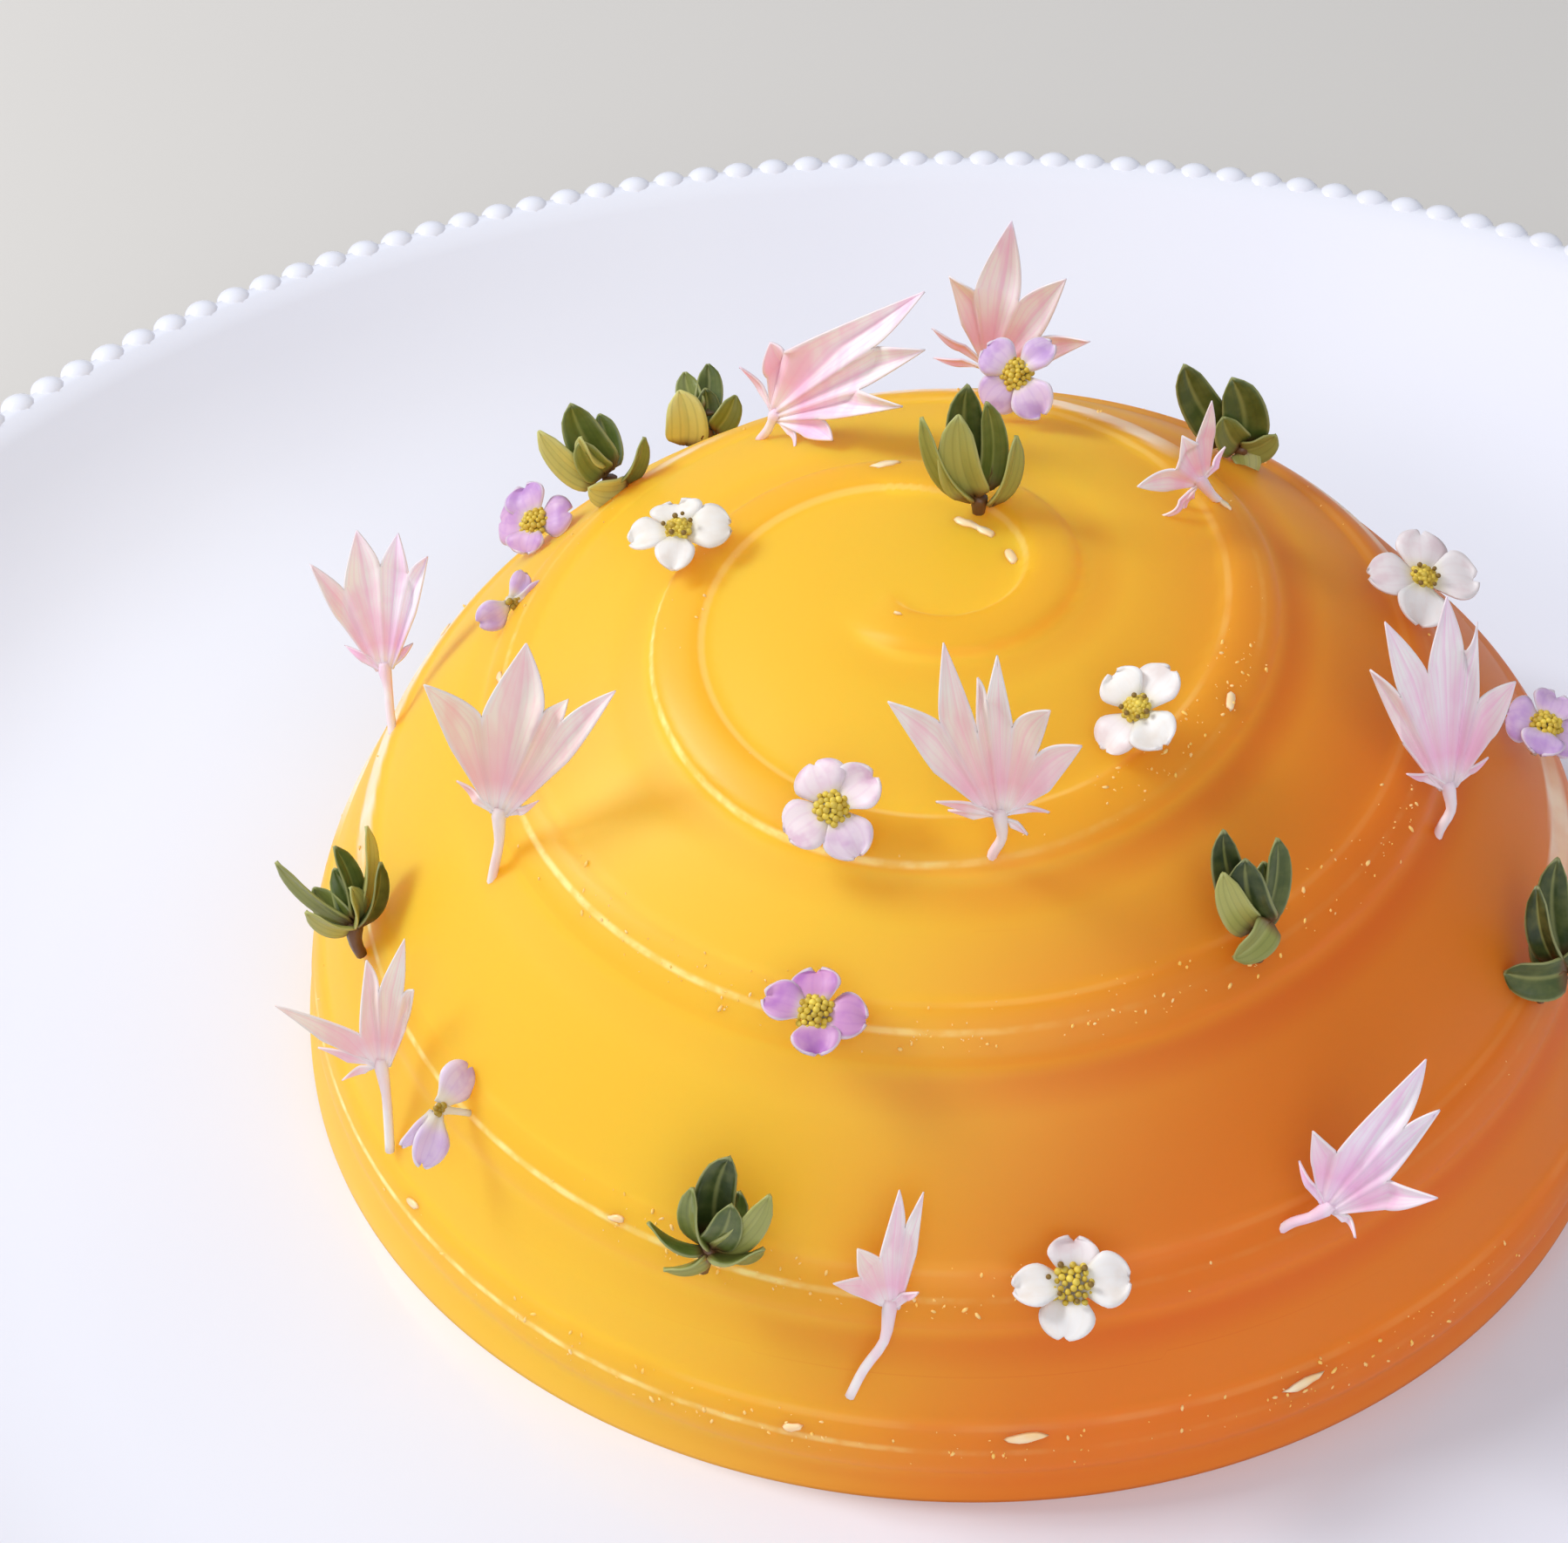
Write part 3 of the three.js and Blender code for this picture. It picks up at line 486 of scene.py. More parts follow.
def end_tree(tree, geometry, material):
    """Makes the instances real, sets the material and joins the result to the tree's output."""
    real = add(tree, "GeometryNodeRealizeInstances", {0: geometry}).outputs[0]
    smooth = add(tree, "GeometryNodeSetShadeSmooth", {0: real}).outputs[0]
    done = add(tree, "GeometryNodeSetMaterial", {"Geometry": smooth, "Material": material}).outputs[0]
    tree.links.new(done, tree.nodes.new("NodeGroupOutput").inputs[0])
    return tree


def named(tree, name):
    return add(tree, "GeometryNodeInputNamedAttribute", {"Name": name}, data_type="FLOAT").outputs[0]


def use_tree(made, tree, **values):
    """Runs a geometry tree on an object with values for its inputs, and keeps the mesh that comes out."""
    modifier = made.modifiers.new(tree.name, "NODES")
    modifier.node_group = tree
    sockets = {s.name: s.identifier for s in tree.interface.items_tree if s.in_out == "INPUT"}
    for label, value in values.items():
        modifier[sockets[label.replace("_", " ")]] = value
    return bake_modifier(made)


def rgb(red, green, blue):
    """A colour read off as 0-255 screen values, made linear."""
    return tuple(((c / 255 + 0.055) / 1.055) ** 2.4 if c > 10 else c / 3294.6 for c in (red, green, blue))


# ---------------------------------------------------------------- materials

# The glaze's yellow where the light falls and its orange where the dome is in shade: painted shade
GLAZE_LIT_YELLOW = rgb(242, 188, 48)
GLAZE_SHADE_ORANGE = rgb(228, 120, 26)
GLAZE_RIDGE = (0.98, 0.86, 0.7)
# Darker tone in the valleys outside the ridge: painted shade
GLAZE_VALLEY_SHADE = (0.9, 0.58, 0.5)
# Pale cream on the ridge's flank: partly mousse through thin glaze, partly painted reflection
GLAZE_CREAM_AND_SHEEN = rgb(255, 228, 200)
# Pale line along the ridge: painted highlight
GLAZE_HIGHLIGHT_LINE = rgb(255, 232, 146)
# Painted shade: the glaze turns from yellow to orange towards the right and the foot, where the dome lies in
# shade, and it is orange on the far side of the crown too
PAINTED_SHADE_WAY = (0.9, -0.3, -0.35)
DEEPER_BACK = (0, 0.6, 0)
# The floret's pale rim is partly its thin edge and partly a painted highlight
FLORET_RIM_HIGHLIGHT = rgb(255, 246, 246)
BLOSSOM_CLAW = rgb(246, 240, 214)
# The blossom's pale rim is a painted highlight
BLOSSOM_RIM_HIGHLIGHT = rgb(255, 250, 250)
LEAF_MOTTLE = rgb(166, 168, 92)
LEAF_MIDDLE = rgb(190, 190, 110)
LEAF_GROOVE = rgb(46, 62, 28)
LEAF_RIM = rgb(196, 196, 130)
LEAF_BASE = rgb(112, 66, 40)


def porcelain_material():
    """White porcelain under a clear, slightly uneven glaze."""
    made, tree, shader = new_material("White glazed porcelain")
    fill(tree, shader, {
        "Base Color": ramp(tree, noise(tree, 18, 2), [(0.3, rgb(230, 231, 242)), (0.7, rgb(235, 236, 245))]),
        "Roughness": remap(tree, noise(tree, 60, 3), 0.3, 0.7, 0.16, 0.24),
        "Normal": bump(tree, noise(tree, 45, 2), 0.05, 0.0002),
        "Coat Weight": 0.35, "Coat Roughness": 0.08,
    })
    return made


def glaze_material():
    """Satin citrus glaze: yellow to orange across the dome as painted shade, with the ridge's own tone,
    painted valley shade, painted highlight lines and pale cream laid over it.
    """
    made, tree, shader = new_material("Citrus glaze")
    away = attribute(tree, "crest_distance")
    outward = attribute(tree, "from_crest")
    strength = attribute(tree, "crest_strength")
    # Painted shade: the glaze turns slowly from yellow to orange across the dome, towards its shaded right
    # side and foot
    waver = remap(tree, noise(tree, 25, 2), 0.3, 0.7, -0.002, 0.002)
    lean = maths(tree, "ADD", reach_along(tree, PAINTED_SHADE_WAY), waver)
    back = maths(tree, "SUBTRACT", reach_along(tree, DEEPER_BACK), 0.004)
    lean = maths(tree, "ADD", lean, maths(tree, "MAXIMUM", back, 0.0))
    deeper = remap(tree, lean, -0.014, 0.016, 0.0, 1.0, True)
    ground = blend(tree, deeper, GLAZE_LIT_YELLOW, GLAZE_SHADE_ORANGE)
    # It is a little deeper on the ridge; the darker valley outside it is painted shade, stronger on the shaded
    # side
    band = product(tree, remap(tree, away, 1.45, 1.75, 1.0, 0.0, True), strength)
    ridge = blend(tree, 1.0, ground, GLAZE_RIDGE, "MULTIPLY")
    colour = blend(tree, product(tree, band, 0.8), ground, ridge)
    valley_shade = product(
        tree, remap(tree, outward, 1.6, 2.6, 0.0, 1.0, True), strength,
        remap(tree, outward, 2.6, 4.9, 1.0, 0.0, True), remap(tree, deeper, 0.0, 0.6, 0.14, 0.72))
    colour = blend(tree, valley_shade, colour, blend(tree, 1.0, ground, GLAZE_VALLEY_SHADE, "MULTIPLY"))
    # Painted highlight: a pale line runs along the ridge, with gaps, and a fainter one along its inner edge,
    # both fainter on the shaded side
    line = maths(tree, "ABSOLUTE", maths(tree, "SUBTRACT", outward, attribute(tree, "highlight_place")))
    line = product(
        tree, remap(tree, line, 0.05, 0.28, 0.85, 0.0, True), attribute(tree, "highlight_strength"),
        remap(tree, noise(tree, 900, 2), 0.38, 0.6, 0.35, 1.0))
    inner = maths(tree, "ABSOLUTE", maths(tree, "ADD", outward, 1.5))
    inner = product(tree, remap(tree, inner, 0.05, 0.25, 0.3, 0.0, True), remap(tree, strength, 0.55, 0.9))
    edge = product(
        tree, maths(tree, "MAXIMUM", line, inner), remap(tree, away, 2.0, 2.3, 1.0, 0.0),
        remap(tree, strength, 0.0, 0.4), remap(tree, noise(tree, 110, 3), 0.36, 0.5, 0.15, 1.0, True),
        remap(tree, deeper, 0.1, 0.8, 1.0, 0.3))
    colour = blend(tree, edge, colour, GLAZE_HIGHLIGHT_LINE)
    # The mousse shows cream through the glaze where it is thin; these pale patches are partly a painted
    # reflection on the ridge's grazing flanks
    thin = product(tree, attribute(tree, "cream_and_sheen"), remap(tree, noise(tree, 300, 3), 0.3, 0.6, 0.55, 0.9))
    colour = blend(tree, thin, colour, GLAZE_CREAM_AND_SHEEN)
    satin = remap(tree, noise(tree, 90, 3), 0.3, 0.7, 0.46, 0.56)
    gloss = maths(tree, "MAXIMUM", product(tree, band, 0.08), product(tree, edge, 0.24))
    fill(tree, shader, {
        "Base Color": colour,
        # Light doesn't soak out through the foot, where the glaze meets the plate
        "Subsurface Weight": remap(tree, attribute(tree, "from_foot"), 0.3, 4.0, 0.0, 1.0, True),
        "Subsurface Radius": (1.0, 0.28, 0.06), "Subsurface Scale": 0.007,
        "Roughness": maths(tree, "SUBTRACT", satin, gloss), "Specular IOR Level": 0.3,
        "Coat Weight": product(tree, edge, 0.5), "Coat Roughness": 0.14,
        "Normal": bump(tree, noise(tree, 160, 3), 0.05, 0.0003),
    })
    shader.subsurface_method = "BURLEY"
    return made


def petal_shader(tree, shader, colour, glow, roughness=0.5):
    """A thin petal: its own face, with light from behind showing through."""
    fill(tree, shader, {"Base Color": colour, "Roughness": roughness, "Specular IOR Level": 0.3})
    through = add(tree, "ShaderNodeBsdfTranslucent", {"Color": colour}).outputs[0]
    both = add(tree, "ShaderNodeMixShader", {0: glow, 1: shader.outputs[0], 2: through}).outputs[0]
    tree.links.new(both, tree.nodes["Material Output"].inputs["Surface"])


def floret_material():
    """Thin petals from peach to lilac, deepest above the throat, with streaks, veins and a pale rim, partly
    the petal's thin edge and partly a painted highlight.
    """
    made, tree, shader = new_material("Pink floret")
    along, across, rim, tint = sheet_values(tree)
    peach = ramp(tree, along, [
        (0.0, rgb(255, 248, 238)), (0.08, rgb(255, 246, 238)), (0.2, rgb(255, 208, 202)),
        (0.45, rgb(255, 232, 206)), (0.75, rgb(255, 246, 230)), (1.0, rgb(255, 230, 220)),
    ])
    lilac = ramp(tree, along, [
        (0.0, rgb(255, 248, 252)), (0.08, rgb(254, 242, 250)), (0.2, rgb(255, 208, 238)),
        (0.45, rgb(254, 244, 255)), (0.75, rgb(255, 252, 255)), (1.0, rgb(252, 234, 254)),
    ])
    deeper = blend(tree, tint, rgb(255, 194, 188), rgb(252, 190, 236))
    streaks = noise(tree, 900, 2, stretch=(1, 1, 0.25))
    body = blend(tree, remap(tree, streaks, 0.45, 0.68, 0.0, 0.45), blend(tree, tint, peach, lilac), deeper)
    body = blend(tree, remap(tree, waves(tree, across, 22.0), 0.2, 1, 0, 0.22), body, deeper)
    midrib = remap(tree, maths(tree, "ABSOLUTE", across), 0.02, 0.2, 0.4, 0.0, True)
    body = blend(tree, midrib, body, deeper)
    # Pale rim: the thin petal edge, partly a painted highlight
    colour = blend(tree, remap(tree, rim, 0.35, 0.95, 0.0, 0.6, True), body, FLORET_RIM_HIGHLIGHT)
    petal_shader(tree, shader, colour, 0.16)
    return made


def blossom_material():
    """Soft petals from white through pink to violet, cloudy and veined, with a cream claw and a pale rim that
    is a painted highlight.
    """
    made, tree, shader = new_material("Pale blossom petal")
    along, across, rim, tint = sheet_values(tree)
    tone = ramp(tree, tint, [
        (0.0, rgb(255, 254, 252)), (0.25, rgb(252, 240, 246)), (0.6, rgb(238, 214, 244)),
        (1.0, rgb(226, 168, 218)),
    ])
    deeper = ramp(tree, tint, [
        (0.0, rgb(248, 242, 234)), (0.25, rgb(236, 200, 224)), (0.6, rgb(208, 168, 230)),
        (1.0, rgb(200, 128, 210)),
    ])
    cloud = remap(tree, noise(tree, 700, 3), 0.42, 0.66, 0.0, 0.85, True)
    colour = blend(tree, product(tree, cloud, remap(tree, along, 0.3, 0.7, 0.2, 1.0)), tone, deeper)
    colour = blend(tree, remap(tree, waves(tree, across, 14.0), 0.5, 1, 0, 0.2), colour, deeper)
    colour = blend(tree, remap(tree, along, 0.12, 0.42, 0.8, 0.0, True), colour, BLOSSOM_CLAW)
    # Pale rim: painted highlight along the rolled edge
    colour = blend(tree, remap(tree, rim, 0.5, 0.95, 0.0, 0.7, True), colour, BLOSSOM_RIM_HIGHLIGHT)
    petal_shader(tree, shader, colour, 0.3, 0.4)
    return made


def leaf_material():
    """Fleshy green leaves, mottled and finely grooved, with a brown base and a pale rim."""
    made, tree, shader = new_material("Herb leaf")
    along, across, rim, tint = sheet_values(tree)
    body = ramp(tree, tint, [
        (0.0, rgb(40, 54, 20)), (0.3, rgb(84, 100, 36)), (0.6, rgb(150, 152, 76)), (1.0, rgb(222, 212, 126)),
    ])
    middle = maths(tree, "ABSOLUTE", across)
    for share, colour in (
            (remap(tree, noise(tree, 1100, 3), 0.4, 0.7, 0.0, 0.16), LEAF_MOTTLE),
            (remap(tree, middle, 0.03, 0.2, 0.3, 0.0, True), LEAF_MIDDLE),
            (remap(tree, waves(tree, across, 15.0), 0.5, 1, 0, 0.16), LEAF_GROOVE),
            (remap(tree, rim, 0.5, 0.95, 0.0, 0.4, True), LEAF_RIM),
            (remap(tree, along, 0.0, 0.22, 0.85, 0.0, True), LEAF_BASE)):
        body = blend(tree, share, body, colour)
    fill(tree, shader, {
        "Base Color": body, "Roughness": 0.4, "Normal": bump(tree, noise(tree, 2500, 2), 0.2, 0.0001)})
    return made


def grain_material(name, fineness, stops, tinted, roughness):
    """Small grains in two tones, turned towards a third by each grain's tint."""
    made, tree, shader = new_material(name)
    colour = blend(tree, attribute(tree, "tint"), ramp(tree, noise(tree, fineness, 2), stops), tinted)
    fill(tree, shader, {"Base Color": colour, "Roughness": roughness})
    return made


PORCELAIN = porcelain_material()
GLAZE = glaze_material()
FLORET_PETAL = floret_material()
BLOSSOM_PETAL = blossom_material()
LEAF = leaf_material()
POLLEN = grain_material(
    "Ochre pollen", 1500, [(0.3, rgb(206, 170, 44)), (0.7, rgb(246, 220, 88))], rgb(112, 78, 26), 0.5)
FLAKE = grain_material(
    "Peach flake", 700, [(0.3, rgb(252, 206, 140)), (0.7, rgb(255, 236, 200))], rgb(255, 204, 92), 0.3)


# ---------------------------------------------------------------- plate

# Radius and height of the plate's wall, from the middle of its underside round to the middle of its well
UNDER = [
    (0, FOOT_RECESS), (FOOT_INNER - 1, FOOT_RECESS), (FOOT_INNER, FOOT_RECESS - 0.4), (FOOT_INNER + 1, 0.25),
    (FOOT_INNER + 2, 0), (FOOT_OUTER - 1, 0), (FOOT_OUTER, 0.25), (FOOT_OUTER + 1, 1.2), (FOOT_OUTER + 3, 2.2),
    (58, 2.7), (64, 3.3), (69, 4.7), (74, 6.4), (78, 8.2), (81, 10.0), (83.3, 12.1),
]
RIM = [(84.6, 12.9), (85.1, 13.5), (85.1, 14.1), (84.5, 14.55), (83.4, 14.5)]
UPPER = [
    (82, 13.5), (79.5, 11.5), (76.5, 9.5), (73, 7.6), (69.5, 6.3), (66, 5.55), (62.5, 5.15),
    (WELL_RADIUS - 2, WELL_HEIGHT), (40, WELL_HEIGHT), (20, WELL_HEIGHT), (0, WELL_HEIGHT),
]


def make_plate():
    """The plate's wall turned about its axis, before its beads are set."""
    profile = UNDER + RIM + UPPER
    angles = np.linspace(0, 2 * math.pi, PLATE_COLUMNS, endpoint=False)
    rings = profile[1:-1]
    points = [[0, 0, profile[0][1]]]
    for radius, height in rings:
        points += np.column_stack(
            [radius * np.cos(angles), radius * np.sin(angles), np.full(PLATE_COLUMNS, height)]).tolist()
    points.append([0, 0, profile[-1][1]])
    faces = grid_faces(len(rings), PLATE_COLUMNS, around=True, start=1)
    last = 1 + (len(rings) - 1) * PLATE_COLUMNS
    top = last + PLATE_COLUMNS
    for j in range(PLATE_COLUMNS):
        k = (j + 1) % PLATE_COLUMNS
        faces.append([0, 1 + k, 1 + j])
        faces.append([top, last + j, last + k])
    shape = Shape()
    shape.add(points, faces)
    return shape.make("beaded_plate", PORCELAIN)


def rim_bead_tree():
    """Sets a row of rounded porcelain beads round the rim."""
    tree, given = new_tree(
        "Rim beads", Bead_count="Int", Ring_radius="Float", Ring_height="Float", Bead_half_width="Float",
        Bead_reach="Float", Bead_half_height="Float", Porcelain="Material")
    ring = add(tree, "GeometryNodeMeshCircle", {
        "Vertices": given["Bead count"], "Radius": given["Ring radius"],
    }).outputs[0]
    lift = add(tree, "ShaderNodeCombineXYZ", {"Z": given["Ring height"]}).outputs[0]
    ring = add(tree, "GeometryNodeSetPosition", {"Geometry": ring, "Offset": lift}).outputs[0]
    ball = add(tree, "GeometryNodeMeshUVSphere", {"Segments": 12, "Rings": 8, "Radius": 1.0}).outputs[0]
    outward = add(tree, "GeometryNodeInputPosition").outputs[0]
    flat = add(tree, "ShaderNodeVectorMath", {0: outward, 1: (1, 1, 0)}, operation="MULTIPLY").outputs[0]
    turn = add(tree, "FunctionNodeAlignRotationToVector", {"Vector": flat}, axis="X").outputs[0]
    size = add(tree, "ShaderNodeCombineXYZ", {
        "X": given["Bead reach"], "Y": given["Bead half width"], "Z": given["Bead half height"],
    }).outputs[0]
    beads = add(tree, "GeometryNodeInstanceOnPoints", {
        "Points": ring, "Instance": ball, "Rotation": turn, "Scale": size,
    }).outputs[0]
    joined = tree.nodes.new("GeometryNodeJoinGeometry")
    tree.links.new(beads, joined.inputs[0])
    tree.links.new(given["Geometry"], joined.inputs[0])
    return end_tree(tree, joined.outputs[0], given["Porcelain"])


plate = use_tree(
    make_plate(), rim_bead_tree(), Bead_count=BEAD_COUNT, Ring_radius=BEAD_RING_RADIUS * MM,
    Ring_height=BEAD_RING_HEIGHT * MM, Bead_half_width=BEAD_HALF_WIDTH * MM, Bead_reach=BEAD_REACH * MM,
    Bead_half_height=BEAD_HALF_HEIGHT * MM, Porcelain=PORCELAIN)
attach(plate, "root")
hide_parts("plate")


# ---------------------------------------------------------------- mousse dome

bow = np.linspace(0, math.pi / 2, 801)
PROFILE_R = DOME_RADIUS * np.sin(bow) ** (2 / SIDE_POWER)
PROFILE_Z = DOME_HEIGHT * np.abs(np.cos(bow)) ** (2 / CROWN_POWER)
PROFILE_Z[-1] = 0
PROFILE_RUN = np.concatenate([[0], np.cumsum(np.hypot(np.diff(PROFILE_R), np.diff(PROFILE_Z)))])
SKIN_LENGTH = PROFILE_RUN[-1]


def ridge_distance(turn):
    """The crest's distance from the piping centre at a turn, on a smooth curve through the quarter turns."""
    last = len(RIDGE_EACH_QUARTER) - 1
    place = (turn - RIDGE_START_TURN) / 90
    i = np.clip(np.floor(place).astype(int), 0, last - 1)
    t = np.clip(place - i, 0, None)
    p0, p1, p2, p3 = (RIDGE_EACH_QUARTER[np.clip(i + k, 0, last)] for k in (-1, 0, 1, 2))
    cubic = -p0 + 3 * p1 - 3 * p2 + p3
    square = 2 * p0 - 5 * p1 + 4 * p2 - p3
    return 0.5 * (2 * p1 + (p2 - p0) * t + square * t * t + cubic * t ** 3)


def crest_values(x, y):
    """Signed distance across the nearest turn of the ridge, its strength there, and the turn."""
    ax, ay = x - PIPING_CENTRE[0], y - PIPING_CENTRE[1]
    distance = np.hypot(ax, ay)
    angle = np.degrees(np.arctan2(ay, ax))
    best = np.full(x.shape, NO_RIDGE)
    strength = np.zeros(x.shape)
    where = np.zeros(x.shape)
    for lap in range(RIDGE_LAPS):
        turn = angle + 360 * lap
        fade = smoothstep(turn, HOOK_TURN - FADE_TURN / 2, HOOK_TURN + FADE_TURN / 2)
        fade = fade * (1 - smoothstep(turn, RIDGE_END_TURN - FADE_TURN, RIDGE_END_TURN))
        off = distance - ridge_distance(turn)
        nearer = (np.abs(off) < np.abs(best)) & (fade > 0)
        best = np.where(nearer, off, best)
        strength = np.where(nearer, fade, strength)
        where = np.where(nearer, turn, where)
    return best, strength * (1 - smoothstep(np.abs(best), RIDGE_REACH - 1.2, RIDGE_REACH)), where


def skin_points(x, y):
    """Points on the dome's skin, from places on it that are laid out flat about its crown."""
    run = np.hypot(x, y)
    bearing = np.arctan2(y, x)
    radius = np.interp(run, PROFILE_RUN, PROFILE_R)
    height = np.interp(run, PROFILE_RUN, PROFILE_Z)
    return np.column_stack([radius * np.cos(bearing), radius * np.sin(bearing), height])


def flat_skin():
    """A square grid of places, drawn out to a disc that covers the skin from the crown to the foot."""
    side = SKIN_CELLS + 1
    a, b = np.meshgrid(np.linspace(-1, 1, side), np.linspace(-1, 1, side))
    a, b = a.ravel(), b.ravel()
    wide = np.abs(a) >= np.abs(b)
    reach = np.where(wide, a, b)
    other = np.where(wide, b, a)
    share = np.divide(other, reach, out=np.zeros_like(reach), where=np.abs(reach) > 1e-9)
    angle = np.where(wide, math.pi / 4 * share, math.pi / 2 - math.pi / 4 * share)
    return reach * np.cos(angle) * SKIN_LENGTH, reach * np.sin(angle) * SKIN_LENGTH


def make_dome():
    """The dome's smooth skin, with each corner's place by the ridge, before the ridge is raised."""
    side = SKIN_CELLS + 1
    x, y = flat_skin()
    points = skin_points(x, y)
    points[:, 2] += DOME_FOOT
    off, strength, where = crest_values(x, y)
    edge = SKIN_LENGTH - np.hypot(x, y)
    strength = strength * smoothstep(edge, 0.2, 2.4) * np.interp(where, *zip(*RIDGE_CALMS))
    faces = grid_faces(side, side)
    # The border of the square grid, in order round the foot, carried down to the plate and closed underneath
    border = [
        *range(side), *(i * side + side - 1 for i in range(1, side)),
        *(side * side - 1 - i for i in range(1, side)), *((side - 1 - i) * side for i in range(1, side - 1)),
    ]
    foot = points[border].copy()
    foot[:, 2] = UNDERSIDE
    inner = foot * [0.97, 0.97, 1]
    count, n = len(points), len(border)
    everything = np.concatenate([points, foot, inner, [[0, 0, UNDERSIDE]]])
    for j in range(n):
        k = (j + 1) % n
        faces.append([border[k], border[j], count + j, count + k])
        faces.append([count + k, count + j, count + n + j, count + n + k])
        faces.append([count + n + k, count + n + j, count + 2 * n])
    # Strength of the painted highlight line: strongest at a bearing on the lit side
    aside = np.abs((where - HIGHLIGHT_BEARING + 180) % 360 - 180)
    highlight_strength = (1 - (1 - HIGHLIGHT_THIN) * smoothstep(aside, 30, 65)) * smoothstep(where, *HIGHLIGHT_START)
    # Pale patches on the ridge's flank: cream through thin glaze, partly painted reflection
    cream_and_sheen = np.zeros(len(x))
    for first, last, middle, half in CREAM_AND_SHEEN_STRETCHES:
        run = smoothstep(where, first - 5, first + 7) * (1 - smoothstep(where, last - 7, last + 5))
        cream_and_sheen = np.maximum(cream_and_sheen, run * (1 - smoothstep(np.abs(off - middle), half * 0.6, half)))
    # Each value of the glaze over the skin, and the one it has underneath
    values = {
        "from_crest": (off, NO_RIDGE), "crest_distance": (np.minimum(np.abs(off), 9), 9.0),
        "crest_strength": (strength, 0.0), "highlight_place": (np.interp(where, *zip(*HIGHLIGHT_PLACE)), 3.0),
        "highlight_strength": (highlight_strength, 0.0), "from_foot": (np.minimum(edge, 9), 0.0), "cream_and_sheen": (cream_and_sheen, 0.0),
    }
    shape = Shape(*values)
    shape.add(everything, faces, **{
        name: np.concatenate([skin, np.full(2 * n + 1, under)]) for name, (skin, under) in values.items()})
    return shape.make("glazed_dome", GLAZE)


def piped_ridge_tree():
    """Raises the glaze over the piped spiral, by the distance across its crest."""
    tree, given = new_tree("Piped ridge", Ridge_height="Float", Reach="Float", Glaze="Material")
    place = remap(tree, named(tree, "from_crest"), product(tree, given["Reach"], -1.0), given["Reach"])
    section = add(tree, "ShaderNodeFloatCurve", {"Value": place})
    curve = section.mapping.curves[0]
    section.mapping.clip_min_y = -1
    while len(curve.points) < len(RIDGE_SECTION):
        curve.points.new(0.5, 0.5)
    for point, (across, share) in zip(curve.points, RIDGE_SECTION):
        point.location = (0.5 + across / (2 * RIDGE_REACH), 0.5 + 0.5 * share)
        point.handle_type = "AUTO_CLAMPED"
    section.mapping.update()
    share = maths(tree, "SUBTRACT", section.outputs[0], 0.5)
    lift = product(tree, share, 2.0, named(tree, "crest_strength"), given["Ridge height"])
    normal = add(tree, "GeometryNodeInputNormal").outputs[0]
    offset = add(tree, "ShaderNodeVectorMath", {0: normal, "Scale": lift}, operation="SCALE").outputs[0]
    moved = add(tree, "GeometryNodeSetPosition", {"Geometry": given["Geometry"], "Offset": offset}).outputs[0]
    return end_tree(tree, moved, given["Glaze"])


dome = use_tree(
    make_dome(), piped_ridge_tree(), Ridge_height=RIDGE_HEIGHT * MM, Reach=RIDGE_REACH, Glaze=GLAZE)
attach(dome, "root")
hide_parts("mousse_dome")


# ---------------------------------------------------------------- thin petals and leaves

def thickened(points, faces, thickness):
    """A closed thin shell about an open sheet: its two faces and the rim between them."""
    points = np.asarray(points, float)
    normals = np.zeros_like(points)
    rim = {}
    for face in faces:
        corner = points[face]
        normals[face] += np.cross(corner[2] - corner[0], corner[3] - corner[1])
        for first, second in zip(face, face[1:] + face[:1]):
            if rim.pop((second, first), None) is None:
                rim[(first, second)] = True
    normals /= np.linalg.norm(normals, axis=1, keepdims=True) + 1e-12
    half = normals * np.reshape(thickness, (-1, 1)) / 2
    n = len(points)
    back = [[n + i for i in reversed(face)] for face in faces]
    edge = [[k, j, n + j, n + k] for j, k in rim]
    return np.concatenate([points + half, points - half]), faces + back + edge


def add_sheet(shape, place, points, faces, thickness, along, across, rim, tint):
    """A thickened sheet in its place, with each corner's value on both of its faces."""
    points, faces = thickened(points, faces, thickness)
    along, across, rim, tint = (np.tile(value, 2) for value in (along, across, rim, tint))
    shape.add(place(points), faces, along=along, across=across, rim=rim, tint=tint)


STEM_SIDES = 8


def tube(shape, place, line, radii, tint, along=0.0):
    """A closed round stem along a line of points."""
    line = np.asarray(line, float)
    points = []
    for i, p in enumerate(line):
        way = line[min(i + 1, len(line) - 1)] - line[max(i - 1, 0)]
        way /= np.linalg.norm(way)
        first = np.cross(way, [0.3, 0.2, 1.0] if abs(way[2]) < 0.9 else [1.0, 0, 0])
        first /= np.linalg.norm(first)
        second = np.cross(way, first)
        for k in range(STEM_SIDES):
            a = 2 * math.pi * k / STEM_SIDES
            points.append(p + radii[i] * (math.cos(a) * first + math.sin(a) * second))
    faces = grid_faces(len(line), STEM_SIDES, around=True)
    faces.append(list(reversed(range(STEM_SIDES))))
    faces.append([(len(line) - 1) * STEM_SIDES + k for k in range(STEM_SIDES)])
    shape.add(place(np.array(points)), faces, along=along, across=0.5, tint=tint)


def bent_line(start, control, end, count):
    """Points on a curve that leaves its start towards a control point and comes in to its end from there."""
    t = np.linspace(0, 1, count)[:, None]
    return (1 - t) ** 2 * np.asarray(start) + 2 * t * (1 - t) * np.asarray(control) + t ** 2 * np.asarray(end)


# ---------------------------------------------------------------- florets

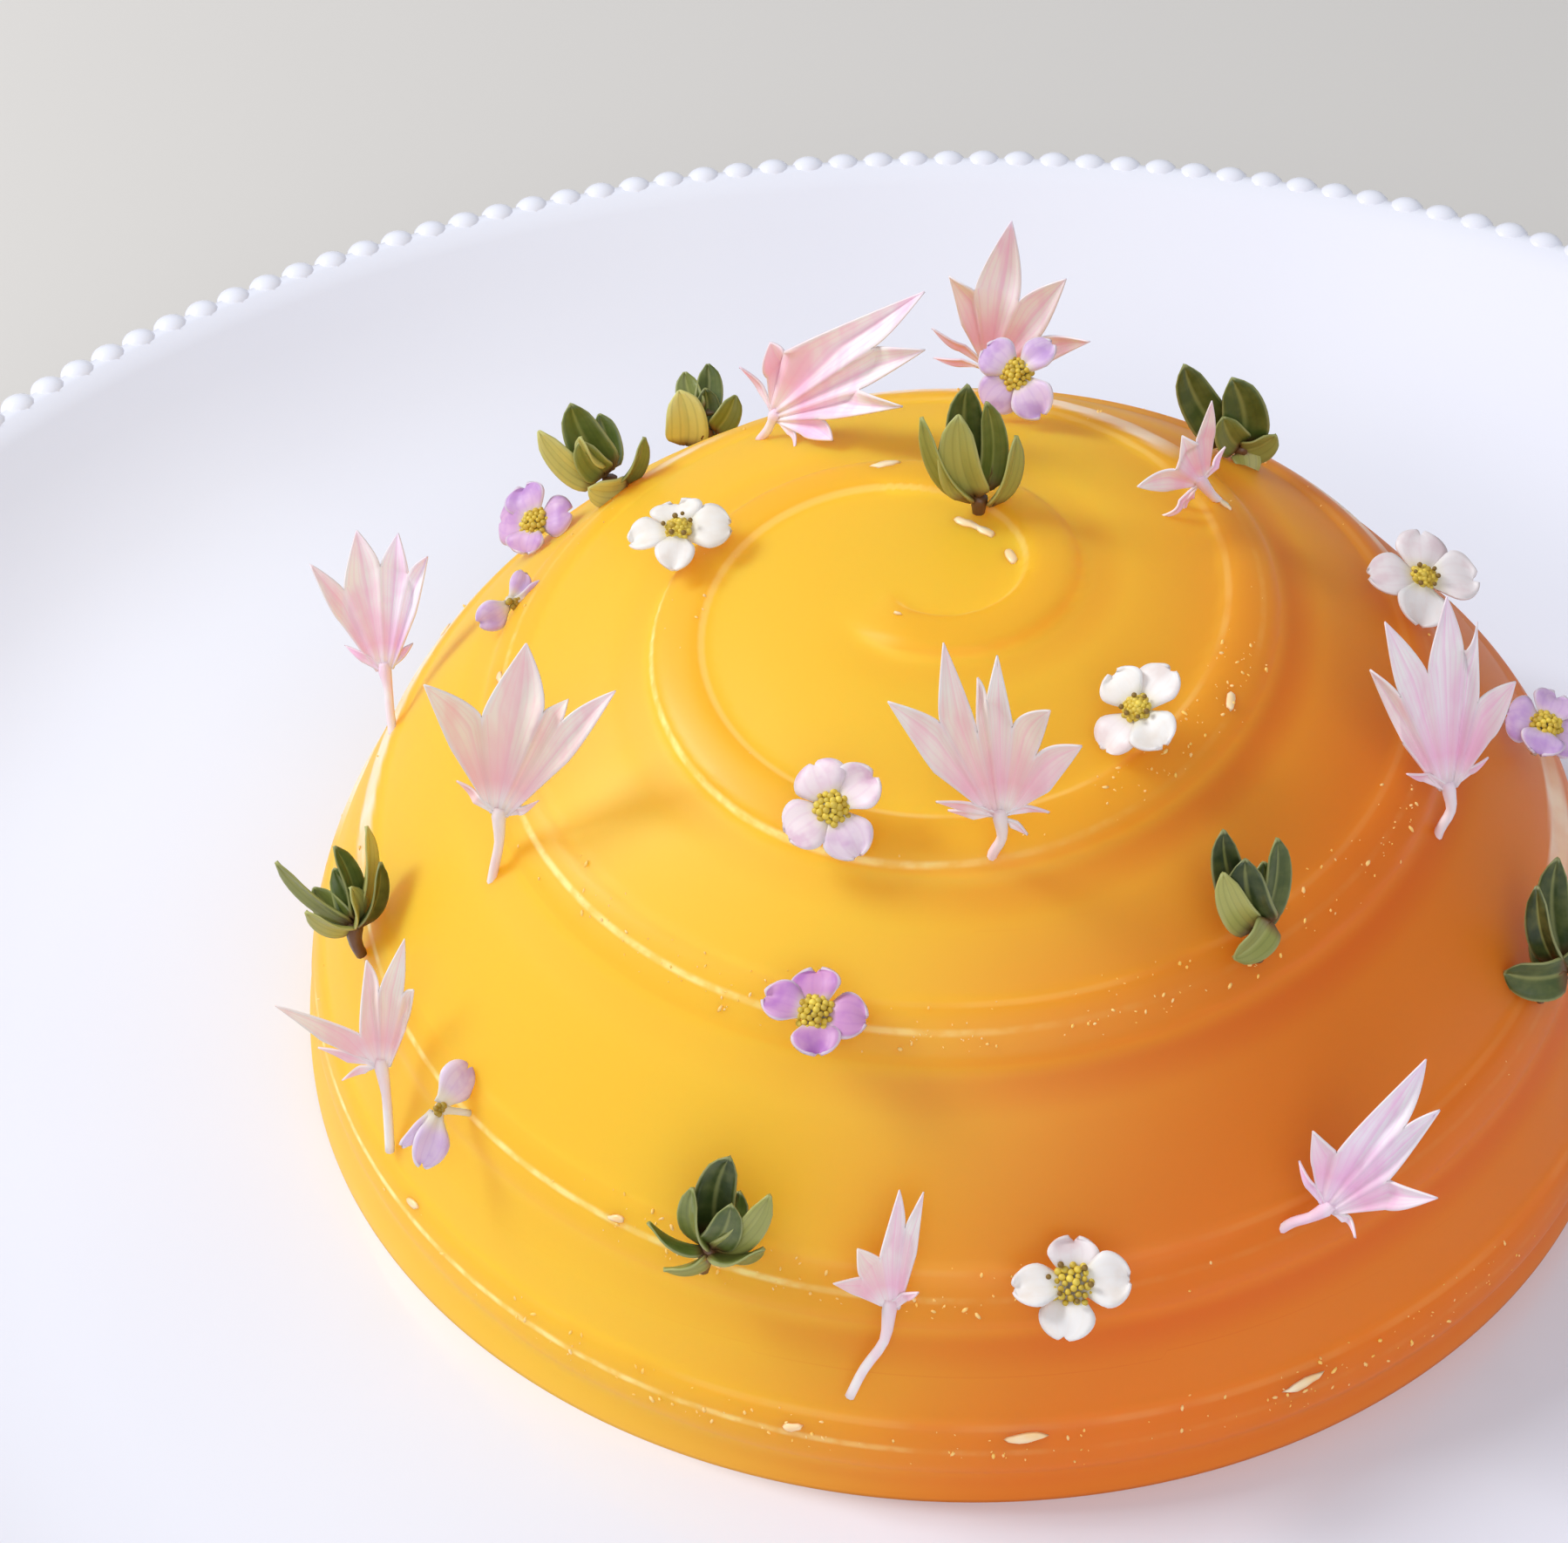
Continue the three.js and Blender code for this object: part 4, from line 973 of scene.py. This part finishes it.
FUSED_ROWS = 7
FREE_ROWS = 12
LOBE_COLUMNS = 9
LOBE_THICKNESS = 0.15
# How far a lobe's edge keeps its way before it bends to the tip, and how much its point is blunted
LOBE_BULGE = 0.27
LOBE_BLUNT = 0.12
THROAT_HALF = 0.5
SIDE_THROAT_HALF = 0.28
FLORET_STEM_RINGS = 13
FLORET_STEM_RADII = [0.27, 0.27, 0.27, 0.4, 0.3]
# How far the stem's colour runs up the floret's own scale
FLORET_STEM_ALONG = 0.12


def polar(degrees, length):
    """A place about the throat, by its bearing from straight up."""
    a = math.radians(degrees)
    return length * np.array([math.sin(a), math.cos(a)])


def outer_turn(tip, side):
    """Where a fan's outer edge turns towards its last tip."""
    length = np.linalg.norm(tip)
    across = np.array([tip[1], -tip[0]]) / length * side
    return tip * 0.5 + across * np.clip(0.052 * length + 0.12, 0.26, 0.72)


def add_fan(shape, place, throat, tips, notches, throat_half, longest, depth, tint, rng):
    """Lobes grown together from the throat to their notches and free beyond, each folded along its midrib."""
    tips = [polar(*tip) for tip in tips]
    count = len(tips)
    turns = [outer_turn(tips[0], -1)] + [polar(*notch) for notch in notches] + [outer_turn(tips[-1], 1)]
    roots = [np.array([throat_half * (2 * k / count - 1), 0.0]) for k in range(count + 1)]
    fold = rng.uniform(0.3, 0.45)
    cup = rng.uniform(0.02, 0.04)
    spread = np.linspace(-1, 1, LOBE_COLUMNS)
    points, along, across, rim, tints = [], [], [], [], []
    fused = {}
    grids = []
    for k, tip in enumerate(tips):
        middle = (turns[k] + turns[k + 1]) / 2
        axis = (tip - middle) * LOBE_BULGE
        edges = []
        for j in (k, k + 1):
            grown = roots[j] + (turns[j] - roots[j]) * np.linspace(0, 1, FUSED_ROWS)[:, None]
            loose = bent_line(turns[j], turns[j] + axis, tip, FREE_ROWS + 1)[1:]
            edges.append(np.concatenate([grown, loose]))
        left, right = edges
        for side in edges:
            side[-1] += (side[-2] - side[-1]) * LOBE_BLUNT
        twist, lean, bend = rng.uniform(-0.45, 0.45), rng.uniform(-0.7, 0.9), rng.uniform(-0.3, 0.3)
        shade = tint + rng.uniform(-0.18, 0.18)
        grid = []
        for i in range(len(left)):
            free = max(0.0, (i - FUSED_ROWS + 1) / FREE_ROWS)
            half = np.linalg.norm(right[i] - left[i]) / 2
            row = []
            for c, u in enumerate(spread):
                border = k if c == 0 else k + 1 if c == LOBE_COLUMNS - 1 else None
                shared = border is not None and i < FUSED_ROWS and 0 < border < count
                if shared and (border, i) in fused:
                    row.append(fused[border, i])
                    continue
                x, y = left[i] + (right[i] - left[i]) * (u + 1) / 2
                out = math.hypot(x, y)
                z = (depth * out / longest + cup * x * x - 0.006 * y * y + fold * half * (abs(u) ** 1.4 - 0.4)
                     + free * twist * u * half + lean * free * free + bend * math.sin(math.pi * free))
                points.append([throat[0] + x, throat[1] + y, z])
                along.append(min(1.0, out / longest))
                across.append(u)
                rim.append(0.0 if border is None or shared and i < FUSED_ROWS - 1 else 1.0)
                tints.append(np.clip(shade + 0.25 * x / longest, 0, 1))
                if shared:
                    fused[border, i] = len(points) - 1
                row.append(len(points) - 1)
            grid.append(row)
        grids.append(grid)
    faces = [[grid[i][c], grid[i][c + 1], grid[i + 1][c + 1], grid[i + 1][c]]
             for grid in grids for i in range(len(grid) - 1) for c in range(LOBE_COLUMNS - 1)]
    thickness = LOBE_THICKNESS * (1 - 0.45 * np.array(along))
    add_sheet(shape, place, points, faces, thickness, along, across, rim, tints)


def add_floret(shape, name, row, rng):
    """A floret's bent stem, its fan of lobes and the short lobes at its sides."""
    axes = upright_axes(row)
    place = placed(lowest_along(name, axes[1]), axes)
    throat, bend, foot = (np.array(p, float) for p in row["stem"])
    below = foot + (foot - bend) * 0.5 + [0, -0.9]
    line = np.array([[*below, -0.1], [*foot, 0], [*bend, 0.05], [*throat, 0], [*(throat + [0, 0.45]), -0.02]])
    steps, knots = np.linspace(0, len(line) - 1, FLORET_STEM_RINGS), range(len(line))
    smooth = np.array([np.interp(steps, knots, line[:, c]) for c in range(3)]).T
    smooth[1:-1] = (smooth[:-2] + 2 * smooth[1:-1] + smooth[2:]) / 4
    along = np.repeat(np.linspace(0.0, FLORET_STEM_ALONG, FLORET_STEM_RINGS), STEM_SIDES)
    tube(shape, place, smooth, np.interp(steps, knots, FLORET_STEM_RADII), row["hue"], along)
    longest = max(length for _, length in row["tips"])
    add_fan(shape, place, throat, row["tips"], row["notches"], THROAT_HALF, longest, 0.1, row["hue"], rng)
    for k, side in enumerate(row["sides"]):
        depth = (0.5, -0.7)[k % 2]
        add_fan(shape, place, throat, [side], [], SIDE_THROAT_HALF, longest, depth, row["hue"], rng)


rng = np.random.default_rng(SEED)
floret_shape = Shape(*SHEET_VALUES)
floret_names = numbered("pink_floret", FLORETS)
for name, row in zip(floret_names, FLORETS):
    add_floret(floret_shape, name, row, rng)
florets = floret_shape.make("pink_florets", FLORET_PETAL)
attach(florets, "root")
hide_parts(*floret_names)


# ---------------------------------------------------------------- blossoms

BLOSSOM_STEM = 0.9
PETAL_ROWS = 14
PETAL_COLUMNS = 9
PETAL_THICKNESS = 0.16
# Height of each petal's root over the stem's end, in turn, so that neighbours overlap
PETAL_LIFTS = (0.12, 0.3, -0.02, 0.22)
HEART_GRAINS = 34
HEART_RADIUS = {"button": 0.95, "open": 1.15, "stamens": 0.72}
STAMENS = 6
BUD_GRAINS = 9
# Grains set by this angle, in radians, fill a disc evenly
GOLDEN_ANGLE = 2.399963


def add_petal(shape, place, middle, petal, base, rise, cup, tint, rng):
    """One broad rounded petal: a narrow claw, a spoon-shaped blade and a slightly rolled rim."""
    degrees, length, half = petal
    a = math.radians(degrees)
    out, over = np.array([math.cos(a), math.sin(a), 0]), np.array([-math.sin(a), math.cos(a), 0])
    share = 1 - (1 - np.linspace(0, 1, PETAL_ROWS)) ** 1.5
    spread = np.linspace(-1, 1, PETAL_COLUMNS)
    grown = 0.32 + 0.68 * smoothstep(share, 0.0, 0.55)
    ended = np.sqrt(np.clip(1 - (np.clip(share - 0.56, 0, 1) / 0.45) ** 2, 0.02, 1))
    wide = half * grown * ended
    arch, notch, phase = rng.uniform(0.15, 0.4), rng.uniform(0.0, 0.12), rng.uniform(0, 6)
    roll = rng.uniform(-0.25, 0.25)
    points, along, across, rim = [], [], [], []
    for t, w in zip(share, wide):
        for u in spread:
            reach = 0.25 + (length - 0.25) * (t - notch * t ** 6 * math.exp(-(u / 0.35) ** 2))
            z = (base + rise * t + arch * math.sin(math.pi * t) + cup * half * u * u * smoothstep(t, 0.1, 0.6)
                 + roll * u * w + 0.05 * math.sin(phase + 5 * u + 4 * t) - 0.12 * max(t, abs(u)) ** 6)
            points.append([*middle, 0] + out * reach + over * (u * w) + [0, 0, z])
            along.append(t)
            across.append(u)
            rim.append(1.0 if abs(u) == 1 or t == 1 else 0.0)
    faces = [face[::-1] for face in grid_faces(len(share), len(spread))]
    add_sheet(shape, place, points, faces, PETAL_THICKNESS, along, across, rim, np.full(len(points), tint))


def ring_place(middle, angle, radius):
    """A place about a blossom's middle."""
    return middle + radius * np.array([math.cos(angle), math.sin(angle)])


def add_blossom(petals, grains, name, row, rng):
    """A blossom's petals and stem, and the places of the grains of its heart."""
    bud = row["heart"] == "bud"
    axes = upright_axes(row) if bud else facing_axes(row)
    place = placed(lowest_along(name, axes[1] if bud else axes[2]), axes)
    middle = np.array(row["middle"], float)
    top = 0.0 if bud else BLOSSOM_STEM
    for k, petal in enumerate(row["petals"]):
        rise = rng.uniform(-0.3, 0.3) if bud else rng.uniform(-0.15, 0.35)
        cup = rng.uniform(0.15, 0.45) if k % 2 else rng.uniform(-0.2, 0.3)
        tint = np.clip(row["tone"] + rng.uniform(-0.1, 0.1), 0, 1)
        add_petal(petals, place, middle, petal, top + PETAL_LIFTS[k % 4], rise, cup, tint, rng)
    if bud:
        stem = bent_line([0, -1.0, 0], [0.1, 0.2, 0], [*middle, 0.0], 6)
        tube(petals, place, stem, [0.2, 0.2, 0.2, 0.24, 0.36, 0.3], 0.3)
        heart = [([*(middle + rng.uniform(-0.35, 0.35, 2)), 0.3], rng.uniform(0.14, 0.2), 0.6)
                 for _ in range(BUD_GRAINS)]
    else:
        stem = bent_line([0, 0, -1.1], [0, 0, 0], [*middle, top + 0.25], 6)
        tube(petals, place, stem, [0.2, 0.2, 0.22, 0.25, 0.4, 0.55], 0.3)
        wide = HEART_RADIUS[row["heart"]]
        heart = []
        for k in range(HEART_GRAINS):
            r = wide * math.sqrt((k + 0.5) / HEART_GRAINS)
            height = top + 0.78 - 0.5 * (r / wide) ** 2 + rng.uniform(-0.05, 0.05)
            heart.append(([*ring_place(middle, GOLDEN_ANGLE * k, r), height],
                          rng.uniform(0.15, 0.22), rng.uniform(0, 0.35)))
        if row["heart"] != "button":
            for k in range(STAMENS):
                a, r = 2 * math.pi * k / STAMENS + rng.uniform(-0.3, 0.3), wide * rng.uniform(0.75, 1.15)
                heart.append(([*ring_place(middle, a, r), top + 0.85], rng.uniform(0.12, 0.17), 0.9))
    for spot, size, tint in heart:
        grains.append((place(spot), size, tint))


def grain_tree(name, fineness, stretch=(1, 1, 1)):
    """Sets one small round grain on every point, sized by the point's own value and turned at random."""
    tree, given = new_tree(name, Grain_unit="Float", Turn_seed="Int", Material="Material")
    grain = add(tree, "GeometryNodeMeshIcoSphere", {"Radius": given["Grain unit"], "Subdivisions": fineness})
    grain = add(tree, "GeometryNodeTransform", {"Geometry": grain.outputs[0], "Scale": stretch}).outputs[0]
    turn = add(tree, "FunctionNodeRandomValue", {
        0: (0, 0, 0), 1: (6.28, 6.28, 6.28), "Seed": given["Turn seed"],
    }, data_type="FLOAT_VECTOR").outputs[0]
    spots = add(tree, "GeometryNodeInstanceOnPoints", {
        "Points": given["Geometry"], "Instance": grain, "Rotation": turn, "Scale": named(tree, "size"),
    }).outputs[0]
    return end_tree(tree, spots, given["Material"])


def scatter_grains(name, grains, tree, material):
    """A piece of grains, each given as its place in millimetres, its radius and its tint."""
    spots = Shape("size", "tint")
    for spot, size, tint in grains:
        spots.add([spot], [], size=size, tint=tint)
    return use_tree(spots.make(name, material), tree, Grain_unit=MM, Turn_seed=SEED, Material=material)


rng = np.random.default_rng(SEED + 1)
petal_shape = Shape(*SHEET_VALUES)
heart_grains = []
blossom_names = numbered("blossom", BLOSSOMS)
for name, row in zip(blossom_names, BLOSSOMS):
    add_blossom(petal_shape, heart_grains, name, row, rng)
blossoms = petal_shape.make("blossoms", BLOSSOM_PETAL)
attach(blossoms, "root")
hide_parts(*blossom_names)
hearts = scatter_grains("blossom_hearts", heart_grains, grain_tree("Pollen grains", 2), POLLEN)
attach(hearts, "root")


# ---------------------------------------------------------------- herb tips

LEAF_ROWS = 13
LEAF_COLUMNS = 9
LEAF_THICKNESS = 0.3
# A leaf that looks narrower than this is turned about its length until it does
LEAF_LEAST_HALF = 0.7225
HERB_STEM_RADII = [0.34, 0.36, 0.4, 0.46, 0.5, 0.42]
# Two leaves at the back of every tip, so that it is full from behind
HIDDEN_LEAVES = [(0.1, 0.6, 0.7, 3.4, 0.8, -1.9, 0.25), (-0.1, 0.6, -0.8, 3.1, 0.8, -1.7, 0.4)]


def add_leaf(shape, place, leaf, rng):
    """One fleshy leaf: bowed away from the stem, cupped, with a groove along its middle."""
    x0, y0, x1, y1, seen, depth, tint = leaf
    half = max(seen, LEAF_LEAST_HALF)
    start, end = np.array([x0, y0, 0.15 * depth]), np.array([x1, y1, depth])
    side = 1.0 if x1 > x0 else -1.0
    length = np.linalg.norm(end - start)
    way = (end - start) / length
    over = np.array([way[1], -way[0], 0.0])
    over /= np.linalg.norm(over)
    bow = over * side * 0.14 * length + [0, 0, 0.12 * length * np.sign(depth + 0.01)]
    line = bent_line(start, start + (end - start) * 0.45 + bow, end, LEAF_ROWS)
    tilt = side * math.acos(min(1.0, seen / half)) + rng.uniform(-0.2, 0.2)
    cup = rng.uniform(0.3, 0.5)
    share = np.linspace(0, 1, LEAF_ROWS)
    spread = np.linspace(-1, 1, LEAF_COLUMNS)
    wide = half * (0.3 * (1 - share) ** 2 + np.clip(1 - np.abs(2 * share ** 0.86 - 1) ** 2.6, 0, 1) ** 0.55)
    wide[-2:] = 0.62 * wide[-3], 0.12
    points, along, across, rim = [], [], [], []
    for i, t in enumerate(share):
        step = line[min(i + 1, LEAF_ROWS - 1)] - line[max(i - 1, 0)]
        step /= np.linalg.norm(step)
        flat = np.array([step[1], -step[0], 0.0])
        flat /= np.linalg.norm(flat)
        flat = turned(flat, step, math.degrees(tilt))
        up = np.cross(flat, step)
        for u in spread:
            groove = 0.09 * math.exp(-(u / 0.18) ** 2)
            lift = cup * half * u * u * math.sin(math.pi * min(1, t + 0.1)) - groove
            points.append(line[i] + flat * (u * wide[i]) + up * lift)
            along.append(t)
            across.append(u)
            rim.append(1.0 if abs(u) == 1 or t == 1 else 0.0)
    thickness = LEAF_THICKNESS * np.outer(1 - 0.5 * share, 1 - 0.55 * np.abs(spread) ** 3)
    tint = np.clip(tint + rng.uniform(-0.06, 0.06), 0, 1)
    add_sheet(shape, place, points, grid_faces(LEAF_ROWS, LEAF_COLUMNS), thickness, along, across, rim,
              np.full(len(points), tint))


def add_herb_tip(shape, name, row, rng):
    """A herb tip's short stem, its leaves in view and the two behind them."""
    axes = upright_axes(row)
    place = placed(lowest_along(name, axes[1]), axes)
    feet = np.mean([leaf[:2] for leaf in row["leaves"]], axis=0)
    stem = bent_line([0, -1.3, 0], [0, 0, 0], [*feet, 0], len(HERB_STEM_RADII))
    tube(shape, place, stem, HERB_STEM_RADII, 0.3)
    middle = np.array([feet[0], 0, feet[0], 0, 0, 0, 0]) * 0.6
    for leaf in row["leaves"] + [tuple(np.array(leaf) + middle) for leaf in HIDDEN_LEAVES]:
        add_leaf(shape, place, leaf, rng)


rng = np.random.default_rng(SEED + 2)
herb_shape = Shape(*SHEET_VALUES)
herb_names = numbered("herb_tip", HERB_TIPS)
for name, row in zip(herb_names, HERB_TIPS):
    add_herb_tip(herb_shape, name, row, rng)
herbs = herb_shape.make("herb_tips", LEAF)
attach(herbs, "root")
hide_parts(*herb_names)


# ---------------------------------------------------------------- flakes and flecks in the glaze

FLAKE_CORNERS = 12


def by_ridge(turn, across):
    """A place on the skin, by its turn along the ridge and its distance across it."""
    reach = ridge_distance(np.array([turn]))[0] + across
    a = math.radians(turn)
    x, y = PIPING_CENTRE[0] + reach * math.cos(a), PIPING_CENTRE[1] + reach * math.sin(a)
    return skin_points(np.array([x]), np.array([y]))[0] + [0, 0, DOME_FOOT]


def on_ridge(turn, across, lift):
    """A place on the glaze by its turn, with the ways along, across and out of the surface there."""
    here = by_ridge(turn, across)
    along = by_ridge(turn + 0.5, across) - here
    over = by_ridge(turn, across + 0.1) - here
    along /= np.linalg.norm(along)
    out = np.cross(over, along)
    out *= math.copysign(1 / np.linalg.norm(out), out[2])
    height = RIDGE_HEIGHT * np.interp(turn, *zip(*RIDGE_CALMS)) * np.interp(across, *zip(*RIDGE_SECTION))
    return here + out * (height + lift), np.array([along, np.cross(out, along), out])


def add_flake(shape, turn, across, length, rng):
    """A thin ragged chip lying on the glaze."""
    middle, axes = on_ridge(turn, across, 0.03)
    angle = np.linspace(0, 2 * math.pi, FLAKE_CORNERS, endpoint=False)
    reach = rng.uniform(0.75, 1.15, FLAKE_CORNERS)
    x = 0.5 * length * reach * np.cos(angle)
    y = min(0.32, 0.22 * length) * reach * np.sin(angle) + 0.12 * np.sin(2.2 * x)
    rim = np.column_stack([x, y, np.full(FLAKE_CORNERS, -0.04)])
    points = np.concatenate([rim, rim * [0.8, 0.8, 0] + [0, 0, 0.08], [[0, 0, 0.1], [0, 0, -0.06]]])
    faces = grid_faces(2, FLAKE_CORNERS, around=True)
    top, under = len(points) - 2, len(points) - 1
    pairs = [(k, (k + 1) % FLAKE_CORNERS) for k in range(FLAKE_CORNERS)]
    faces += [[FLAKE_CORNERS + j, FLAKE_CORNERS + k, top] for j, k in pairs]
    faces += [[k, j, under] for j, k in pairs]
    shape.add(middle + points @ axes, faces)


rng = np.random.default_rng(SEED + 3)
flake_shape = Shape()
for turn, across, length in FLAKES:
    add_flake(flake_shape, turn, across, length, rng)
flakes = flake_shape.make("glaze_flakes", FLAKE)
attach(flakes, "root")

flecks = []
for k in range(FLECKS):
    crowded = rng.random() < FLECK_SHARE
    turn = rng.uniform(*(FLECK_TURNS[rng.integers(len(FLECK_TURNS))] if crowded else LOOSE_FLECK_TURNS))
    across = rng.choice(FLECK_LANES) + rng.normal(0, 0.35)
    spot, axes = on_ridge(turn, across, 0.0)
    flecks.append((spot, 0.04 + 0.12 * rng.random() ** 3, rng.uniform(0.5, 1.0)))
fleck_grains = scatter_grains("glaze_flecks", flecks, grain_tree("Glaze flecks", 1, (1.7, 0.8, 0.7)), FLAKE)
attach(fleck_grains, "root")


# ---------------------------------------------------------------- floor, light and camera

FLOOR_HALF = 3000
# Lights in metres: name, place, width, watts and colour. Both look at a point low on the dome.
LIGHTS = [
    ("window_light", (-0.49, 0.108, 0.468), 0.24, 3.2, (0.98, 0.99, 1.0)),
    ("soft_fill", (0.1, -0.9, 0.7), 1.1, 5.4, (0.92, 0.965, 1.0)),
]
LIT_POINT = Vector((0, 0, 0.02))
ROOM_COLOUR = (0.92, 0.94, 1.0, 1)
ROOM_STRENGTH = 0.45


def make_floor():
    made, tree, shader = new_material("Plain pale floor")
    colour = ramp(tree, noise(tree, 3, 2), [(0.3, rgb(206, 202, 197)), (0.7, rgb(211, 207, 202))])
    fill(tree, shader, {"Base Color": colour, "Roughness": 0.75})
    shape = Shape()
    corners = np.array([(-1, -1, 0), (1, -1, 0), (1, 1, 0), (-1, 1, 0)]) * FLOOR_HALF
    shape.add(corners, [[0, 1, 2, 3]])
    return shape.make("floor", made)


make_floor()


def area_light(name, place, size, watts, colour):
    """A round lamp that looks at the dome."""
    lamp = bpy.data.lights.new(name, "AREA")
    lamp.shape = "DISK"
    lamp.size = size
    lamp.energy = watts
    lamp.color = colour
    made = bpy.data.objects.new(name, lamp)
    bpy.context.scene.collection.objects.link(made)
    made.location = place
    made.rotation_euler = (LIT_POINT - made.location).to_track_quat("-Z", "Y").to_euler()


for light in LIGHTS:
    area_light(*light)

world = bpy.data.worlds.new("studio")
bpy.context.scene.world = world
world.use_nodes = True
room = world.node_tree.nodes["Background"].inputs
room["Color"].default_value = ROOM_COLOUR
room["Strength"].default_value = ROOM_STRENGTH


def make_camera():
    """The photograph's camera: looking at the middle of the well, then panned, tilted and rolled."""
    e = math.radians(CAMERA_HEIGHT_ANGLE)
    at = np.array([0, -CAMERA_DISTANCE * math.cos(e), CAMERA_DISTANCE * math.sin(e)])
    forward = -at / CAMERA_DISTANCE
    right = np.array([1.0, 0, 0])
    up = np.cross(right, forward)
    level = np.array([right, -up, forward])
    p, t, r = (math.radians(v) for v in (CAMERA_PAN, CAMERA_TILT, CAMERA_ROLL))
    pan = np.array([[math.cos(p), 0, math.sin(p)], [0, 1, 0], [-math.sin(p), 0, math.cos(p)]])
    tilt = np.array([[1, 0, 0], [0, math.cos(t), -math.sin(t)], [0, math.sin(t), math.cos(t)]])
    roll = np.array([[math.cos(r), -math.sin(r), 0], [math.sin(r), math.cos(r), 0], [0, 0, 1]])
    rows = roll @ tilt @ pan @ level
    turn = Matrix(np.column_stack([rows[0], -rows[1], -rows[2]]).tolist()).to_4x4()
    data = bpy.data.cameras.new("photo_view")
    data.sensor_fit = "HORIZONTAL"
    data.sensor_width = SENSOR_MM
    data.lens = LENS_MM
    data.clip_start = 0.01
    made = bpy.data.objects.new("photo_view", data)
    bpy.context.scene.collection.objects.link(made)
    made.matrix_world = Matrix.Translation(((at + [0, 0, WELL_HEIGHT]) * MM).tolist()) @ turn
    bpy.context.scene.camera = made


make_camera()
bpy.context.scene.view_settings.view_transform = "Standard"
bpy.context.scene.view_settings.look = "None"
bpy.context.scene.view_settings.exposure = 0.0
light_paths = bpy.context.scene.cycles
light_paths.max_bounces = 4
light_paths.diffuse_bounces = 3
light_paths.glossy_bounces = 2
light_paths.transmission_bounces = 3
light_paths.caustics_reflective = False
light_paths.caustics_refractive = False
